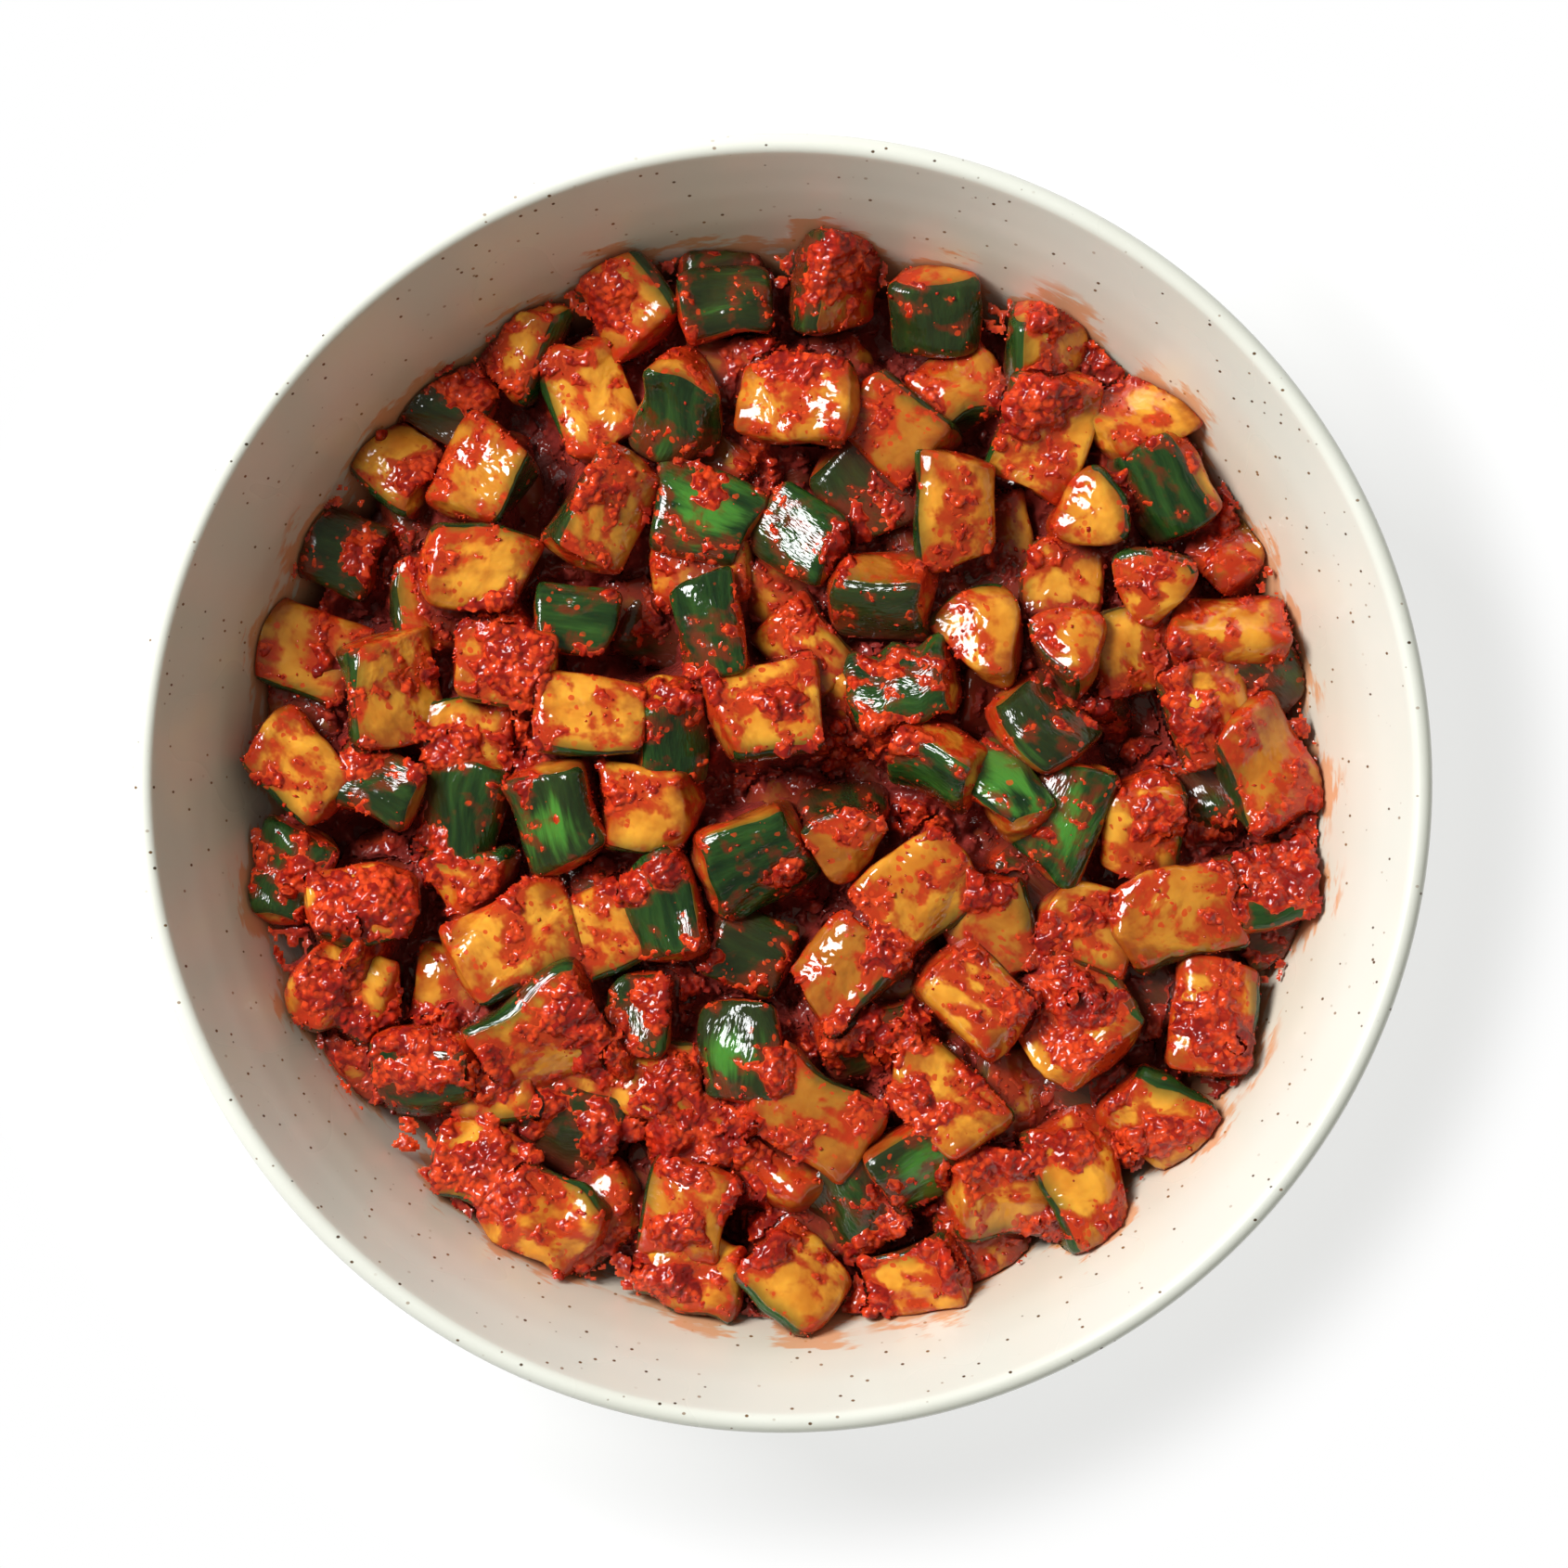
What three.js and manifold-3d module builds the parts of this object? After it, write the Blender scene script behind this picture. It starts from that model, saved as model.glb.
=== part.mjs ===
// Cucumber kimchi in a stoneware bowl: a thrown bowl with rounded lip and foot ring, and in it a heap of
// thick cucumber wedges, cut across into chunks and tossed in a coarse red chilli paste.
//
// Millimetres, +Z up. The origin is the middle of the foot ring, on the surface that the bowl stands on.
// Angles in the tables are in degrees, counted anticlockwise from +X, seen from above.

import * as THREE from 'three';
import { mergeVertices } from 'three/addons/utils/BufferGeometryUtils.js';
import Module from 'manifold-3d';

const wasm = await Module();
wasm.setup();

// ---- Driving dimensions of the bowl ----
const RIM_RADIUS = 133; // outside of the lip
const BOWL_HEIGHT = 84;
const WALL = 4.4; // wall thickness; the lip is a half round of this width
const WALL_LEAN = THREE.MathUtils.degToRad(25); // of the straight upper wall, outwards from vertical
const WALL_START_Z = 44; // where the curve of the bottom runs into the straight wall
const FLOOR_RADIUS = 55; // flat middle of the inside
const FOOT_HEIGHT = 4;
const FOOT_RADIUS = 61; // outside of the foot ring
const FOOT_WIDTH = 7.5; // flat face that it stands on
const FOOT_EASE = 1.2; // small slope on each side of that face
const FOOT_RECESS = 3; // hollow inside the foot ring
const BOWL_SIDES = 48;
const BEND_STEPS = 7;
const LIP_STEPS = 4;

// ---- Driving dimensions of the heap ----
const CLEARANCE = 0.35; // between the food and the bowl
const HEAP_TOP = 58.5; // height of the upper chunks in the middle of the bowl
const HEAP_SINK = 3.5; // how much lower they lie against the wall
const LEVEL_DROP = 6.5; // from one level of chunks to the next one down
const CORE_DEPTH = 13.5; // the packed middle of the heap ends this far below the upper chunks
const CORE_SIDES = 16;
const CUCUMBER_RADIUS = 18.5;
const SEED_TRIM = 2.5; // the watery core is cut away at least this far from the cucumber's axis
const CHUNK = { length: 19, width: 18, depth: 16 }; // width is across the skin, depth is from skin to core
const SIZE_SPREAD = 0.07; // how uneven the hand-cut chunks are
const SKIN_STEPS = 3; // flat faces across the round skin of a chunk
const PASTE_RISE = 0.26; // height of a paste clump above its middle, as a share of its shorter side
const PASTE_LEAST = 1; // added to that height, so that a narrow clump still stands out
const PASTE_LUMPS = 0.16; // how far a clump's surface swells and dips, as a share of its size
const BIG_CLUMP = 15; // a clump longer than this has the finer mesh
const LEAST_CLUMP = 9; // shorter clumps are only smears on the chunks
const DRAW_SEED = 20417;

// ---- Chunks that lie open to view ----
// Each row is: face turned up, x, y, heading, lean towards, lean, level, then length, width and depth
// where they aren't the usual ones. Faces: skin, cut (a side of the wedge), end, core (the wedge's edge).
// x and y are the middle of the face turned up. The heading is the way the cucumber ran for skin and core,
// and the way to the skin for cut and end. Level 0 is the top of the heap.
const CHUNKS = [
  ['cut', -57, 92, 340, 160, 25, 1], ['skin', -73, 83, 325, 150, 15, 1, 20],
  ['cut', -83, 68, 230, 60, 10, 1], ['cut', -63, 66, 328, 148, 22, 0, 20],
  ['skin', -95, 50, 335, 0, 0, 1, 17], ['cut', -63, 46, 80, 260, 8, 0],
  ['cut', -73, 37, 175, 355, 18, 1], ['cut', -36, 57, 150, 330, 20, 0, 21],
  ['cut', -33, 101, 30, 210, 22, 0], ['skin', -11, 102, 8, 98, 12, 0, 20, 15],
  ['skin', -12, 111, 5, 90, 20, 1], ['cut', 14, 105, 180, 0, 25, 0],
  ['skin', 31, 97, 90, 270, 25, 0, 17, 19], ['skin', -22, 75, 78, 265, 38, 0, 19, 17],
  ['cut', 2, 82, 90, 90, 22, 0, 21, 20, 18], ['cut', -11, 88, 90, 0, 0, 1],
  ['cut', -41, 81, 200, 0, 0, 1, 21], ['cut', 24, 75, 50, 230, 10, 0, 20],
  ['cut', 37, 84, 300, 0, 0, 1], ['skin', 3, 53, 332, 0, 0, 0, 16, 16],
  ['skin', -17, 57, 340, 120, 12, 0, 20], ['skin', 17, 61, 312, 230, 15, 1],
  ['cut', 36, 57, 186, 0, 5, 0, 21, 18, 16], ['cut', -18, 46, 100, 0, 0, 1],
  ['cut', 58, 89, 180, 0, 22, 0, 18], ['cut', 75, 80, 116, 116, 12, 0, 18],
  ['cut', 54, 73, 160, 340, 5, 0, 21, 20, 18], ['skin', 78, 60, 303, 212, 35, 0, 21],
  ['end', 63, 57, 25, 0, 0, 0], ['end', 94, 51, 92, 0, 0, 1, 19, 20, 18],
  ['end', 78, 40, 90, 270, 22, 0], ['cut', 59, 42, 170, 0, 0, 1],
  ['skin', 47, 43, 20, 0, 0, 2], ['cut', -100, 27, 250, 70, 10, 1, 21],
  ['cut', -81, 20, 188, 8, 8, 0, 22, 20, 19], ['cut', -102, 3, 222, 0, 0, 0, 19],
  ['skin', -87, 1, 335, 0, 0, 0, 16, 16], ['skin', -68, -6, 82, 270, 8, 0.5, 19, 17],
  ['skin', -49, -9, 112, 195, 25, 0, 20], ['end', -67, -23, 90, 270, 25, 1],
  ['cut', -87, -25, 270, 90, 20, 0], ['skin', -105, -19, 70, 20, 5, 0, 20, 15],
  ['cut', -58, 24, 262, 0, 0, 0], ['skin', -43, 35, 350, 90, 10, 0, 16, 13],
  ['cut', -40, 15, 265, 85, 10, 0, 21], ['cut', -66, 10, 90, 0, 0, 1],
  ['cut', -55, -33, 294, 114, 8, 0, 24, 20, 20], ['cut', -38, -32, 300, 0, 0, 1],
  ['cut', -105, 14, 200, 0, 0, 2], ['skin', -17, 33, 100, 190, 8, 0, 18, 14],
  ['skin', -22, 8, 85, 5, 20, 0, 20, 14], ['cut', -3, 16, 280, 100, 15, 0, 22, 20, 18],
  ['skin', 20, 34, 0, 270, 38, 0, 20], ['skin', 24, 21, 12, 100, 5, 0, 22, 18],
  ['cut', 5, 29, 40, 0, 0, 1], ['cut', 2, 40, 35, 0, 0, 1.5],
  ['end', 42, 32, 120, 0, 0, 0, 18, 20, 19], ['cut', -29, -6, 270, 0, 0, 0],
  ['skin', -28, -26, 110, 200, 25, 0, 20], ['skin', -4, -18, 25, 300, 30, 0, 22, 20, 18],
  ['end', 13, -14, 95, 0, 0, 0], ['cut', 30, -24, 308, 308, 8, 0, 21, 19, 18],
  ['cut', 13, -39, 315, 0, 0, 0, 20], ['skin', 29, 0, 340, 250, 38, 0],
  ['skin', -7, -34, 340, 60, 15, 1], ['end', 61, 31, 215, 0, 0, 0],
  ['cut', 74, 29, 110, 0, 0, 1], ['core', 94, 31, 0, 0, 0, 0, 20],
  ['cut', 90, 16, 200, 0, 0, 0], ['skin', 103, 21, 315, 0, 0, 1],
  ['cut', 102, 3, 207, 27, 15, 0, 23, 19, 18], ['skin', 88, -4, 300, 0, 0, 1],
  ['skin', 56, 14, 307, 37, 20, 0, 19], ['skin', 46, 2, 303, 120, 25, 0, 19, 14],
  ['skin', 59, -8, 65, 220, 20, 0, 21, 18], ['cut', 76, -12, 350, 0, 0, 0.5],
  ['skin', 53, -21, 322, 0, 0, 1], ['cut', 45, -31, 20, 0, 0, 0.5],
  ['cut', 41, -43, 45, 0, 0, 0, 20], ['cut', 83, -28, 286, 106, 12, 0, 24, 19, 18],
  ['cut', 65, -31, 250, 0, 0, 0.5], ['skin', 102, -20, 15, 0, 0, 0],
  ['skin', 108, -28, 20, 0, 0, 1], ['cut', 60, -48, 41, 221, 8, 0, 26, 20, 21],
  ['cut', 91, -49, 350, 170, 8, 0, 22], ['cut', 79, -71, 62, 242, 28, 0, 21, 18, 17],
  ['cut', 63, -83, 200, 20, 15, 0, 26, 19, 17], ['cut', 46, -87, 270, 0, 0, 0],
  ['skin', 32, -82, 20, 300, 24, 0, 20, 17], ['cut', 34, -66, 48, 228, 6, 0, 22],
  ['cut', 51, -66, 180, 0, 25, 1], ['skin', 62, -63, 330, 0, 0, 1],
  ['cut', 43, -98, 200, 0, 0, 1], ['skin', 75, -43, 300, 0, 0, 1.3],
  ['cut', -50, -54, 125, 300, 30, 0, 24, 22, 20], ['cut', -62, -62, 278, 98, 6, 0.3, 17],
  ['skin', -76, -65, 0, 270, 32, 0, 18, 20], ['cut', -91, -45, 255, 75, 8, 0, 20],
  ['cut', -89, -58, 235, 0, 0, 1], ['cut', -71, -44, 262, 0, 0, 1, 18],
  ['skin', -46, -74, 345, 255, 22, 0.6], ['cut', -50, -91, 55, 235, 6, 0, 22, 19, 17],
  ['cut', -63, -82, 250, 0, 0, 0.3], ['skin', -53, -79, 80, 0, 0, 1.3],
  ['cut', -38, -64, 70, 0, 0, 1], ['cut', -21, -91, 165, 345, 6, 0, 19, 18, 18],
  ['cut', -16, -72, 95, 275, 8, 0.5, 20], ['cut', -27, -61, 70, 0, 0, 0.8, 15],
  ['skin', -10, -56, 88, 180, 32, 0, 19], ['skin', -31, -48, 80, 0, 0, 0.8, 15, 12],
  ['cut', 7, -69, 55, 235, 5, 0, 22, 19, 18], ['skin', 20, -57, 20, 280, 20, 0.8, 20],
  ['core', 24, -43, 20, 250, 25, 0.8, 15], ['core', -2, -82, 330, 0, 0, 0, 20],
  ['skin', 15, -90, 310, 220, 32, 0.4, 20], ['cut', 3, -104, 228, 48, 16, 0, 21],
  ['cut', 27, -106, 110, 290, 10, 0, 20], ['cut', -19, -103, 250, 0, 0, 0.5],
  ['cut', -39, -92, 300, 0, 0, 1], ['cut', 5, -93, 120, 0, 0, 1.4],
];

// ---- Clumps of chilli paste: x, y, length, width and the way the length runs ----
const CLUMPS = [
  [-85, -22, 29, 17, 15], [104, -17, 24, 17, 150], [10, 108, 17, 13, 60], [52, 79, 15, 10, 20],
  [-67, 83, 12, 9, 140], [-88, 47, 9, 8, 90], [-36, 102, 9, 8, 90], [57, 97, 6, 6, 0],
  [68, 92, 8, 6, 90], [2, 89, 14, 7, 0], [21, 26, 9, 5, 20], [-89, 6, 6, 6, 0],
  [-103, -21, 7, 4, 60], [-55, 24, 14, 12, 90], [-60, 35, 12, 8, 0], [-71, 8, 12, 7, 30],
  [-55, 5, 14, 5, 90], [83, 22, 12, 5, 90], [85, 15, 10, 9, 0], [67, 15, 7, 6, 0],
  [79, 4, 8, 7, 0], [79, -7, 8, 7, 0], [27, -8, 11, 5, 340], [-32, -22, 6, 6, 0],
  [-25, -19, 5, 5, 0], [0, 17, 8, 5, 20], [5, 5, 20, 9, 10], [20, 10, 18, 8, 0],
  [-22, 20, 12, 5, 10], [-18, -38, 9, 8, 60], [-24, -43, 12, 10, 80], [-63, -81, 17, 15, 60],
  [-18, -77, 17, 10, 0], [94, -55, 12, 8, 160], [95, -61, 8, 6, 20], [45, -22, 8, 7, 0],
  [23, -35, 8, 7, 0], [12, 48, 10, 6, 90], [-15, 62, 5, 5, 0], [-43, 61, 6, 5, 0],
  [1, -20, 7, 4, 20], [-96, -41, 12, 8, 30], [-77, -52, 18, 8, 5], [-76, -61, 17, 5, 0],
  [-88, -54, 12, 9, 0], [-63, -62, 9, 8, 90], [-43, -46, 10, 9, 60], [-39, -55, 12, 9, 100],
  [-49, -68, 9, 4, 30], [-38, -74, 10, 9, 0], [-27, -67, 9, 6, 40], [-22, -60, 7, 6, 330],
  [-9, -73, 9, 8, 0], [-7, -90, 11, 8, 100], [-3, -97, 9, 5, 0], [27, -93, 11, 8, 0],
  [28, -68, 12, 8, 320], [22, -56, 8, 6, 60], [27, -52, 8, 6, 50], [13, -53, 12, 7, 30],
  [-1, -62, 8, 5, 90], [18, -98, 5, 5, 0], [36, -102, 6, 5, 90], [19, -110, 5, 5, 0],
  [-26, -104, 13, 5, 345], [-22, -94, 10, 5, 350], [62, -45, 14, 7, 310], [51, -45, 9, 6, 80],
  [64, -56, 12, 5, 0], [69, -66, 5, 4, 0], [48, -79, 11, 5, 0], [78, -75, 10, 6, 20],
  [61, -77, 8, 6, 30], [88, -50, 14, 10, 150],
];

// ---- Seeded draws, so that the heap is the same each time ----
let drawState = DRAW_SEED;
function draw() {
  drawState = (drawState * 16807) % 2147483647;
  return drawState / 2147483647;
}

// ---- Joining and cutting ----
function toSolid(geometry) {
  geometry.deleteAttribute('normal');
  geometry.deleteAttribute('uv');
  const merged = mergeVertices(geometry, 1e-4);
  const corners = merged.index.array;
  const kept = [];
  for (let i = 0; i < corners.length; i += 3) {
    const [a, b, c] = corners.slice(i, i + 3);
    if (a !== b && b !== c && c !== a) kept.push(a, b, c);
  }
  const vertProperties = new Float32Array(merged.attributes.position.array);
  return new wasm.Manifold(new wasm.Mesh({ numProp: 3, vertProperties, triVerts: new Uint32Array(kept) }));
}

function toGeometry(solid) {
  const mesh = solid.getMesh();
  const geometry = new THREE.BufferGeometry();
  geometry.setAttribute('position', new THREE.BufferAttribute(new Float32Array(mesh.vertProperties), 3));
  geometry.setIndex(new THREE.BufferAttribute(new Uint32Array(mesh.triVerts), 1));
  geometry.computeVertexNormals();
  return geometry;
}

// Keeps the one outer skin: sealed hollows come apart as bodies of negative volume, scraps as small ones.
function outerBody(solid) {
  const bodies = solid.decompose();
  return bodies.reduce((largest, body) => (body.volume() > largest.volume() ? body : largest));
}

// ---- Bowl ----
const floorZ = FOOT_HEIGHT + WALL;
const wallTop = new THREE.Vector2(
  RIM_RADIUS - (WALL / 2) * (1 + Math.cos(WALL_LEAN)),
  BOWL_HEIGHT - (WALL / 2) * (1 - Math.sin(WALL_LEAN)),
);

// Point of the straight inner wall at height z.
function onWall(z) {
  return new THREE.Vector2(wallTop.x - (wallTop.y - z) * Math.tan(WALL_LEAN), z);
}

// The inside of the bowl from the floor's edge to the top of the wall, moved inwards by inset.
function wallLine(inset) {
  const bend = new THREE.QuadraticBezierCurve(
    new THREE.Vector2(FLOOR_RADIUS, floorZ),
    onWall(floorZ),
    onWall(WALL_START_Z),
  );
  const points = [];
  for (let i = 0; i <= BEND_STEPS; i += 1) {
    const point = bend.getPoint(i / BEND_STEPS);
    const along = bend.getTangent(i / BEND_STEPS);
    points.push(new THREE.Vector2(point.x - along.y * inset, point.y + along.x * inset));
  }
  const across = new THREE.Vector2(-Math.cos(WALL_LEAN), Math.sin(WALL_LEAN));
  points.push(wallTop.clone().addScaledVector(across, inset));
  return points;
}

// Turns a profile, from the bottom of the axis round to its top, into a solid about +Z.
function turned(profile, sides) {
  return new THREE.LatheGeometry(profile, sides).rotateX(Math.PI / 2);
}

function bowlGeometry() {
  const footInside = FOOT_RADIUS - FOOT_WIDTH - 2 * FOOT_EASE;
  const profile = [
    new THREE.Vector2(0, FOOT_RECESS),
    new THREE.Vector2(footInside, FOOT_RECESS),
    new THREE.Vector2(footInside + FOOT_EASE, 0),
    new THREE.Vector2(FOOT_RADIUS - FOOT_EASE, 0),
    new THREE.Vector2(FOOT_RADIUS, FOOT_EASE),
    new THREE.Vector2(FOOT_RADIUS, FOOT_HEIGHT),
  ];
  profile.push(...wallLine(-WALL).filter((point) => point.x > FOOT_RADIUS + FOOT_EASE));
  const lipMiddle = new THREE.Vector2(RIM_RADIUS - WALL / 2, BOWL_HEIGHT - WALL / 2);
  for (let i = 1; i < LIP_STEPS; i += 1) {
    const turn = -WALL_LEAN + (i / LIP_STEPS) * Math.PI;
    const spoke = new THREE.Vector2(Math.cos(turn), Math.sin(turn));
    profile.push(lipMiddle.clone().addScaledVector(spoke, WALL / 2));
  }
  profile.push(...wallLine(0).reverse(), new THREE.Vector2(0, floorZ));
  return turned(profile, BOWL_SIDES);
}

// ---- Heap ----
// Height of the upper chunks: a very low dome that sinks towards the wall.
function heapHeight(x, y) {
  const out = Math.hypot(x, y) / RIM_RADIUS;
  return HEAP_TOP - HEAP_SINK * out * out;
}

// The space that food may fill: the inside of the bowl, less the clearance.
function cavity() {
  const profile = [new THREE.Vector2(0, floorZ + CLEARANCE), ...wallLine(CLEARANCE)];
  profile.push(new THREE.Vector2(0, profile.at(-1).y));
  return toSolid(turned(profile, BOWL_SIDES));
}

// The packed middle of the heap: everything below the chunks that show, still to be cut to the bowl.
function core() {
  const profile = [new THREE.Vector2(0, FOOT_HEIGHT), new THREE.Vector2(RIM_RADIUS, FOOT_HEIGHT)];
  profile.push(new THREE.Vector2(RIM_RADIUS, heapHeight(RIM_RADIUS, 0) - CORE_DEPTH));
  profile.push(new THREE.Vector2(0, HEAP_TOP - CORE_DEPTH));
  return toSolid(turned(profile, CORE_SIDES));
}

// A chunk in its own axes: X across the wedge, Y out to the skin from the cucumber's axis, Z along it.
function wedge({ length, halfAngle, inner, radius }) {
  const onCircle = (turn, size) => new THREE.Vector2(size * Math.sin(turn), size * Math.cos(turn));
  const outline = [onCircle(-halfAngle, inner), onCircle(halfAngle, inner)];
  for (let i = 0; i <= SKIN_STEPS; i += 1) {
    outline.push(onCircle(halfAngle * (1 - (2 * i) / SKIN_STEPS), radius));
  }
  const options = { depth: length, bevelEnabled: false };
  return new THREE.ExtrudeGeometry(new THREE.Shape(outline), options).translate(0, 0, -length / 2);
}

// The wedge's axes in the heap before it leans, and the middle of the face that is turned up.
function stance(face, heading, { length, halfAngle, inner, radius }) {
  const up = new THREE.Vector3(0, 0, 1);
  const ahead = new THREE.Vector3(Math.cos(heading), Math.sin(heading), 0);
  const middle = (radius + inner) / 2;
  if (face === 'skin') {
    return { outward: up, along: ahead, anchor: new THREE.Vector3(0, radius, 0) };
  }
  if (face === 'core') {
    const edge = inner * Math.cos(halfAngle);
    return { outward: up.clone().negate(), along: ahead, anchor: new THREE.Vector3(0, edge, 0) };
  }
  if (face === 'end') {
    return { outward: ahead, along: up, anchor: new THREE.Vector3(0, middle, length / 2) };
  }
  const outward = ahead.clone().multiplyScalar(Math.cos(halfAngle)).addScaledVector(up, -Math.sin(halfAngle));
  const anchor = new THREE.Vector3(Math.sin(halfAngle) * middle, Math.cos(halfAngle) * middle, 0);
  return { outward, along: up.clone().cross(ahead), anchor };
}

function chunk(row) {
  const [face, x, y, heading, towards, lean, level, ...sizes] = row;
  const usual = [CHUNK.length, CHUNK.width, CHUNK.depth];
  const [length, width, depth] = usual.map(
    (size, i) => (sizes[i] ?? size) * (1 + SIZE_SPREAD * (2 * draw() - 1)),
  );
  const radius = Math.max(CUCUMBER_RADIUS, depth + SEED_TRIM);
  const size = { length, radius, inner: radius - depth, halfAngle: Math.asin(width / 2 / radius) };
  const { outward, along, anchor } = stance(face, THREE.MathUtils.degToRad(heading), size);
  const across = outward.clone().cross(along);
  const tip = THREE.MathUtils.degToRad(towards);
  const hinge = new THREE.Vector3(-Math.sin(tip), Math.cos(tip), 0);
  const place = new THREE.Matrix4()
    .makeTranslation(x, y, heapHeight(x, y) - level * LEVEL_DROP)
    .multiply(new THREE.Matrix4().makeRotationAxis(hinge, THREE.MathUtils.degToRad(lean)))
    .multiply(new THREE.Matrix4().makeBasis(across, outward, along))
    .multiply(new THREE.Matrix4().makeTranslation(-anchor.x, -anchor.y, -anchor.z));
  return toSolid(wedge(size).applyMatrix4(place));
}

// A lumpy clump of paste, half sunk into whatever lies under its middle, or held between chunks there.
function clump([x, y, length, width, heading], ground) {
  const height = PASTE_RISE * width + PASTE_LEAST;
  const down = new THREE.Raycaster(new THREE.Vector3(x, y, BOWL_HEIGHT), new THREE.Vector3(0, 0, -1));
  const [hit] = down.intersectObject(ground);
  const top = hit ? hit.point.z : heapHeight(x, y) - LEVEL_DROP;
  const geometry = new THREE.IcosahedronGeometry(1, length > BIG_CLUMP ? 1 : 0);
  const corners = geometry.attributes.position;
  const corner = new THREE.Vector3();
  for (let i = 0; i < corners.count; i += 1) {
    corner.fromBufferAttribute(corners, i);
    const swell = 1 + PASTE_LUMPS * Math.sin(5 * corner.x + x) * Math.cos(4 * corner.y + y);
    corner.multiplyScalar(swell);
    corners.setXYZ(i, corner.x, corner.y, corner.z);
  }
  geometry.scale(length / 2, width / 2, height);
  geometry.rotateZ(THREE.MathUtils.degToRad(heading)).translate(x, y, top);
  return toSolid(geometry);
}

function heapGeometry() {
  const room = cavity();
  let heap = core();
  for (const row of CHUNKS) heap = heap.add(chunk(row));
  heap = heap.intersect(room);
  const ground = new THREE.Mesh(toGeometry(heap));
  for (const row of CLUMPS) {
    if (row[2] >= LEAST_CLUMP) heap = heap.add(clump(row, ground));
  }
  return toGeometry(outerBody(heap.intersect(room)));
}

// ---- The object ----
const glaze = new THREE.MeshStandardMaterial({ color: 0xece6da, roughness: 0.35, metalness: 0 });
const kimchi = new THREE.MeshStandardMaterial({ color: 0xc8561f, roughness: 0.3, metalness: 0 });

function named(name, geometry, material) {
  const mesh = new THREE.Mesh(geometry, material);
  mesh.name = name;
  return mesh;
}

const object = new THREE.Group();
object.add(named('bowl', bowlGeometry(), glaze));
object.add(named('cucumber_kimchi', heapGeometry(), kimchi));

export default object;
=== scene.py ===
# %% [markdown]
# # Cucumber kimchi in a stoneware bowl
# A heap of diced cucumber, green skin and orange-stained flesh, is tossed in a coarse red chilli paste and
# heaped in a speckled off-white bowl. What is hard about it is all in the food: about a hundred wet,
# hand-cut chunks that lie every way up, and a paste that is neither solid nor liquid.
#
# The imported model gives the sizes. It is loaded first, and its box is kept.

import math

import bpy
import numpy as np
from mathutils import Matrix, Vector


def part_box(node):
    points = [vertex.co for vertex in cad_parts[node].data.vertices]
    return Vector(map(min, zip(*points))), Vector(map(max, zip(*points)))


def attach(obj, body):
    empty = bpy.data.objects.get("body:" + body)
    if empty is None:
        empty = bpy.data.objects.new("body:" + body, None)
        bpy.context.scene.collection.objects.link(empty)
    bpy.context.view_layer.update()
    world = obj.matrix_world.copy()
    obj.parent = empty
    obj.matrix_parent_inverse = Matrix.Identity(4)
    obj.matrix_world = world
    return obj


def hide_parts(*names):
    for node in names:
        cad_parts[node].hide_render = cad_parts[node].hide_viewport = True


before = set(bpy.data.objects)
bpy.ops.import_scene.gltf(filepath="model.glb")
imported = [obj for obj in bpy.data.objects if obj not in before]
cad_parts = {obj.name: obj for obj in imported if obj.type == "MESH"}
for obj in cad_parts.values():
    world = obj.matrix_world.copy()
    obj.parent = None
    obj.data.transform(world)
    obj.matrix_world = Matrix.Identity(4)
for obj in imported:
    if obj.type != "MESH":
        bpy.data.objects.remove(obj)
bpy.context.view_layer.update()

# %% [markdown]
# ## Sizes
# All lengths below are in millimetres, as a cook or a potter would give them, and one factor turns them
# into Blender's metres when a mesh is written. The rim and the height come from the frame, and the rest are
# the maker's own sizes.

# %% Driving sizes
MM = 0.001
bowl_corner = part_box("bowl")[1]
RIM_RADIUS = round(bowl_corner[0] / MM)
BOWL_HEIGHT = round(bowl_corner[2] / MM)
WALL = 4.4
WALL_LEAN = math.radians(25)
WALL_START_Z = 44.0
FLOOR_RADIUS = 55.0
FOOT_HEIGHT = 4.0
FOOT_RADIUS = 61.0
FOOT_WIDTH = 7.5
FOOT_EASE = 1.2
FOOT_RECESS = 3.0
CLEARANCE = 0.35
HEAP_TOP = 58.5
HEAP_SINK = 3.5
LEVEL_DROP = 6.5
CUCUMBER_RADIUS = 18.5
SEED_TRIM = 2.5
USUAL_CHUNK = (19.0, 18.0, 16.0)
SIZE_SPREAD = 0.07
DRAW_SEED = 20417
print("bowl:", 2 * RIM_RADIUS, "mm across and", BOWL_HEIGHT, "mm high")

# %% [markdown]
# ## Camera and light
# The bowl is seen from straight above with a long lens, so its rim and its food line are two circles about
# one centre. One large soft light stands high at the upper left. It leaves the wall under it in shade and
# puts a broad gleam on every skin that tilts its way. A pale sky fills the shadows a little.

# %% Camera
VIEW_WIDTH = 320.2
CAMERA_HEIGHT = 1000.0
AIM = (0.28, -0.19)
SENSOR = 36.0
VIEW_END = 10.0


def make_camera():
    """A long lens straight above: its focal length is sensor width times distance over the width seen."""
    lens = bpy.data.cameras.new("camera")
    lens.sensor_width = SENSOR
    lens.lens = SENSOR * CAMERA_HEIGHT / VIEW_WIDTH
    lens.clip_end = VIEW_END
    camera = bpy.data.objects.new("camera", lens)
    camera.location = (AIM[0] * MM, AIM[1] * MM, (BOWL_HEIGHT + CAMERA_HEIGHT) * MM)
    bpy.context.scene.collection.objects.link(camera)
    bpy.context.scene.camera = camera
    return camera


camera = make_camera()
print("lens:", round(camera.data.lens, 1), "mm")

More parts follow.
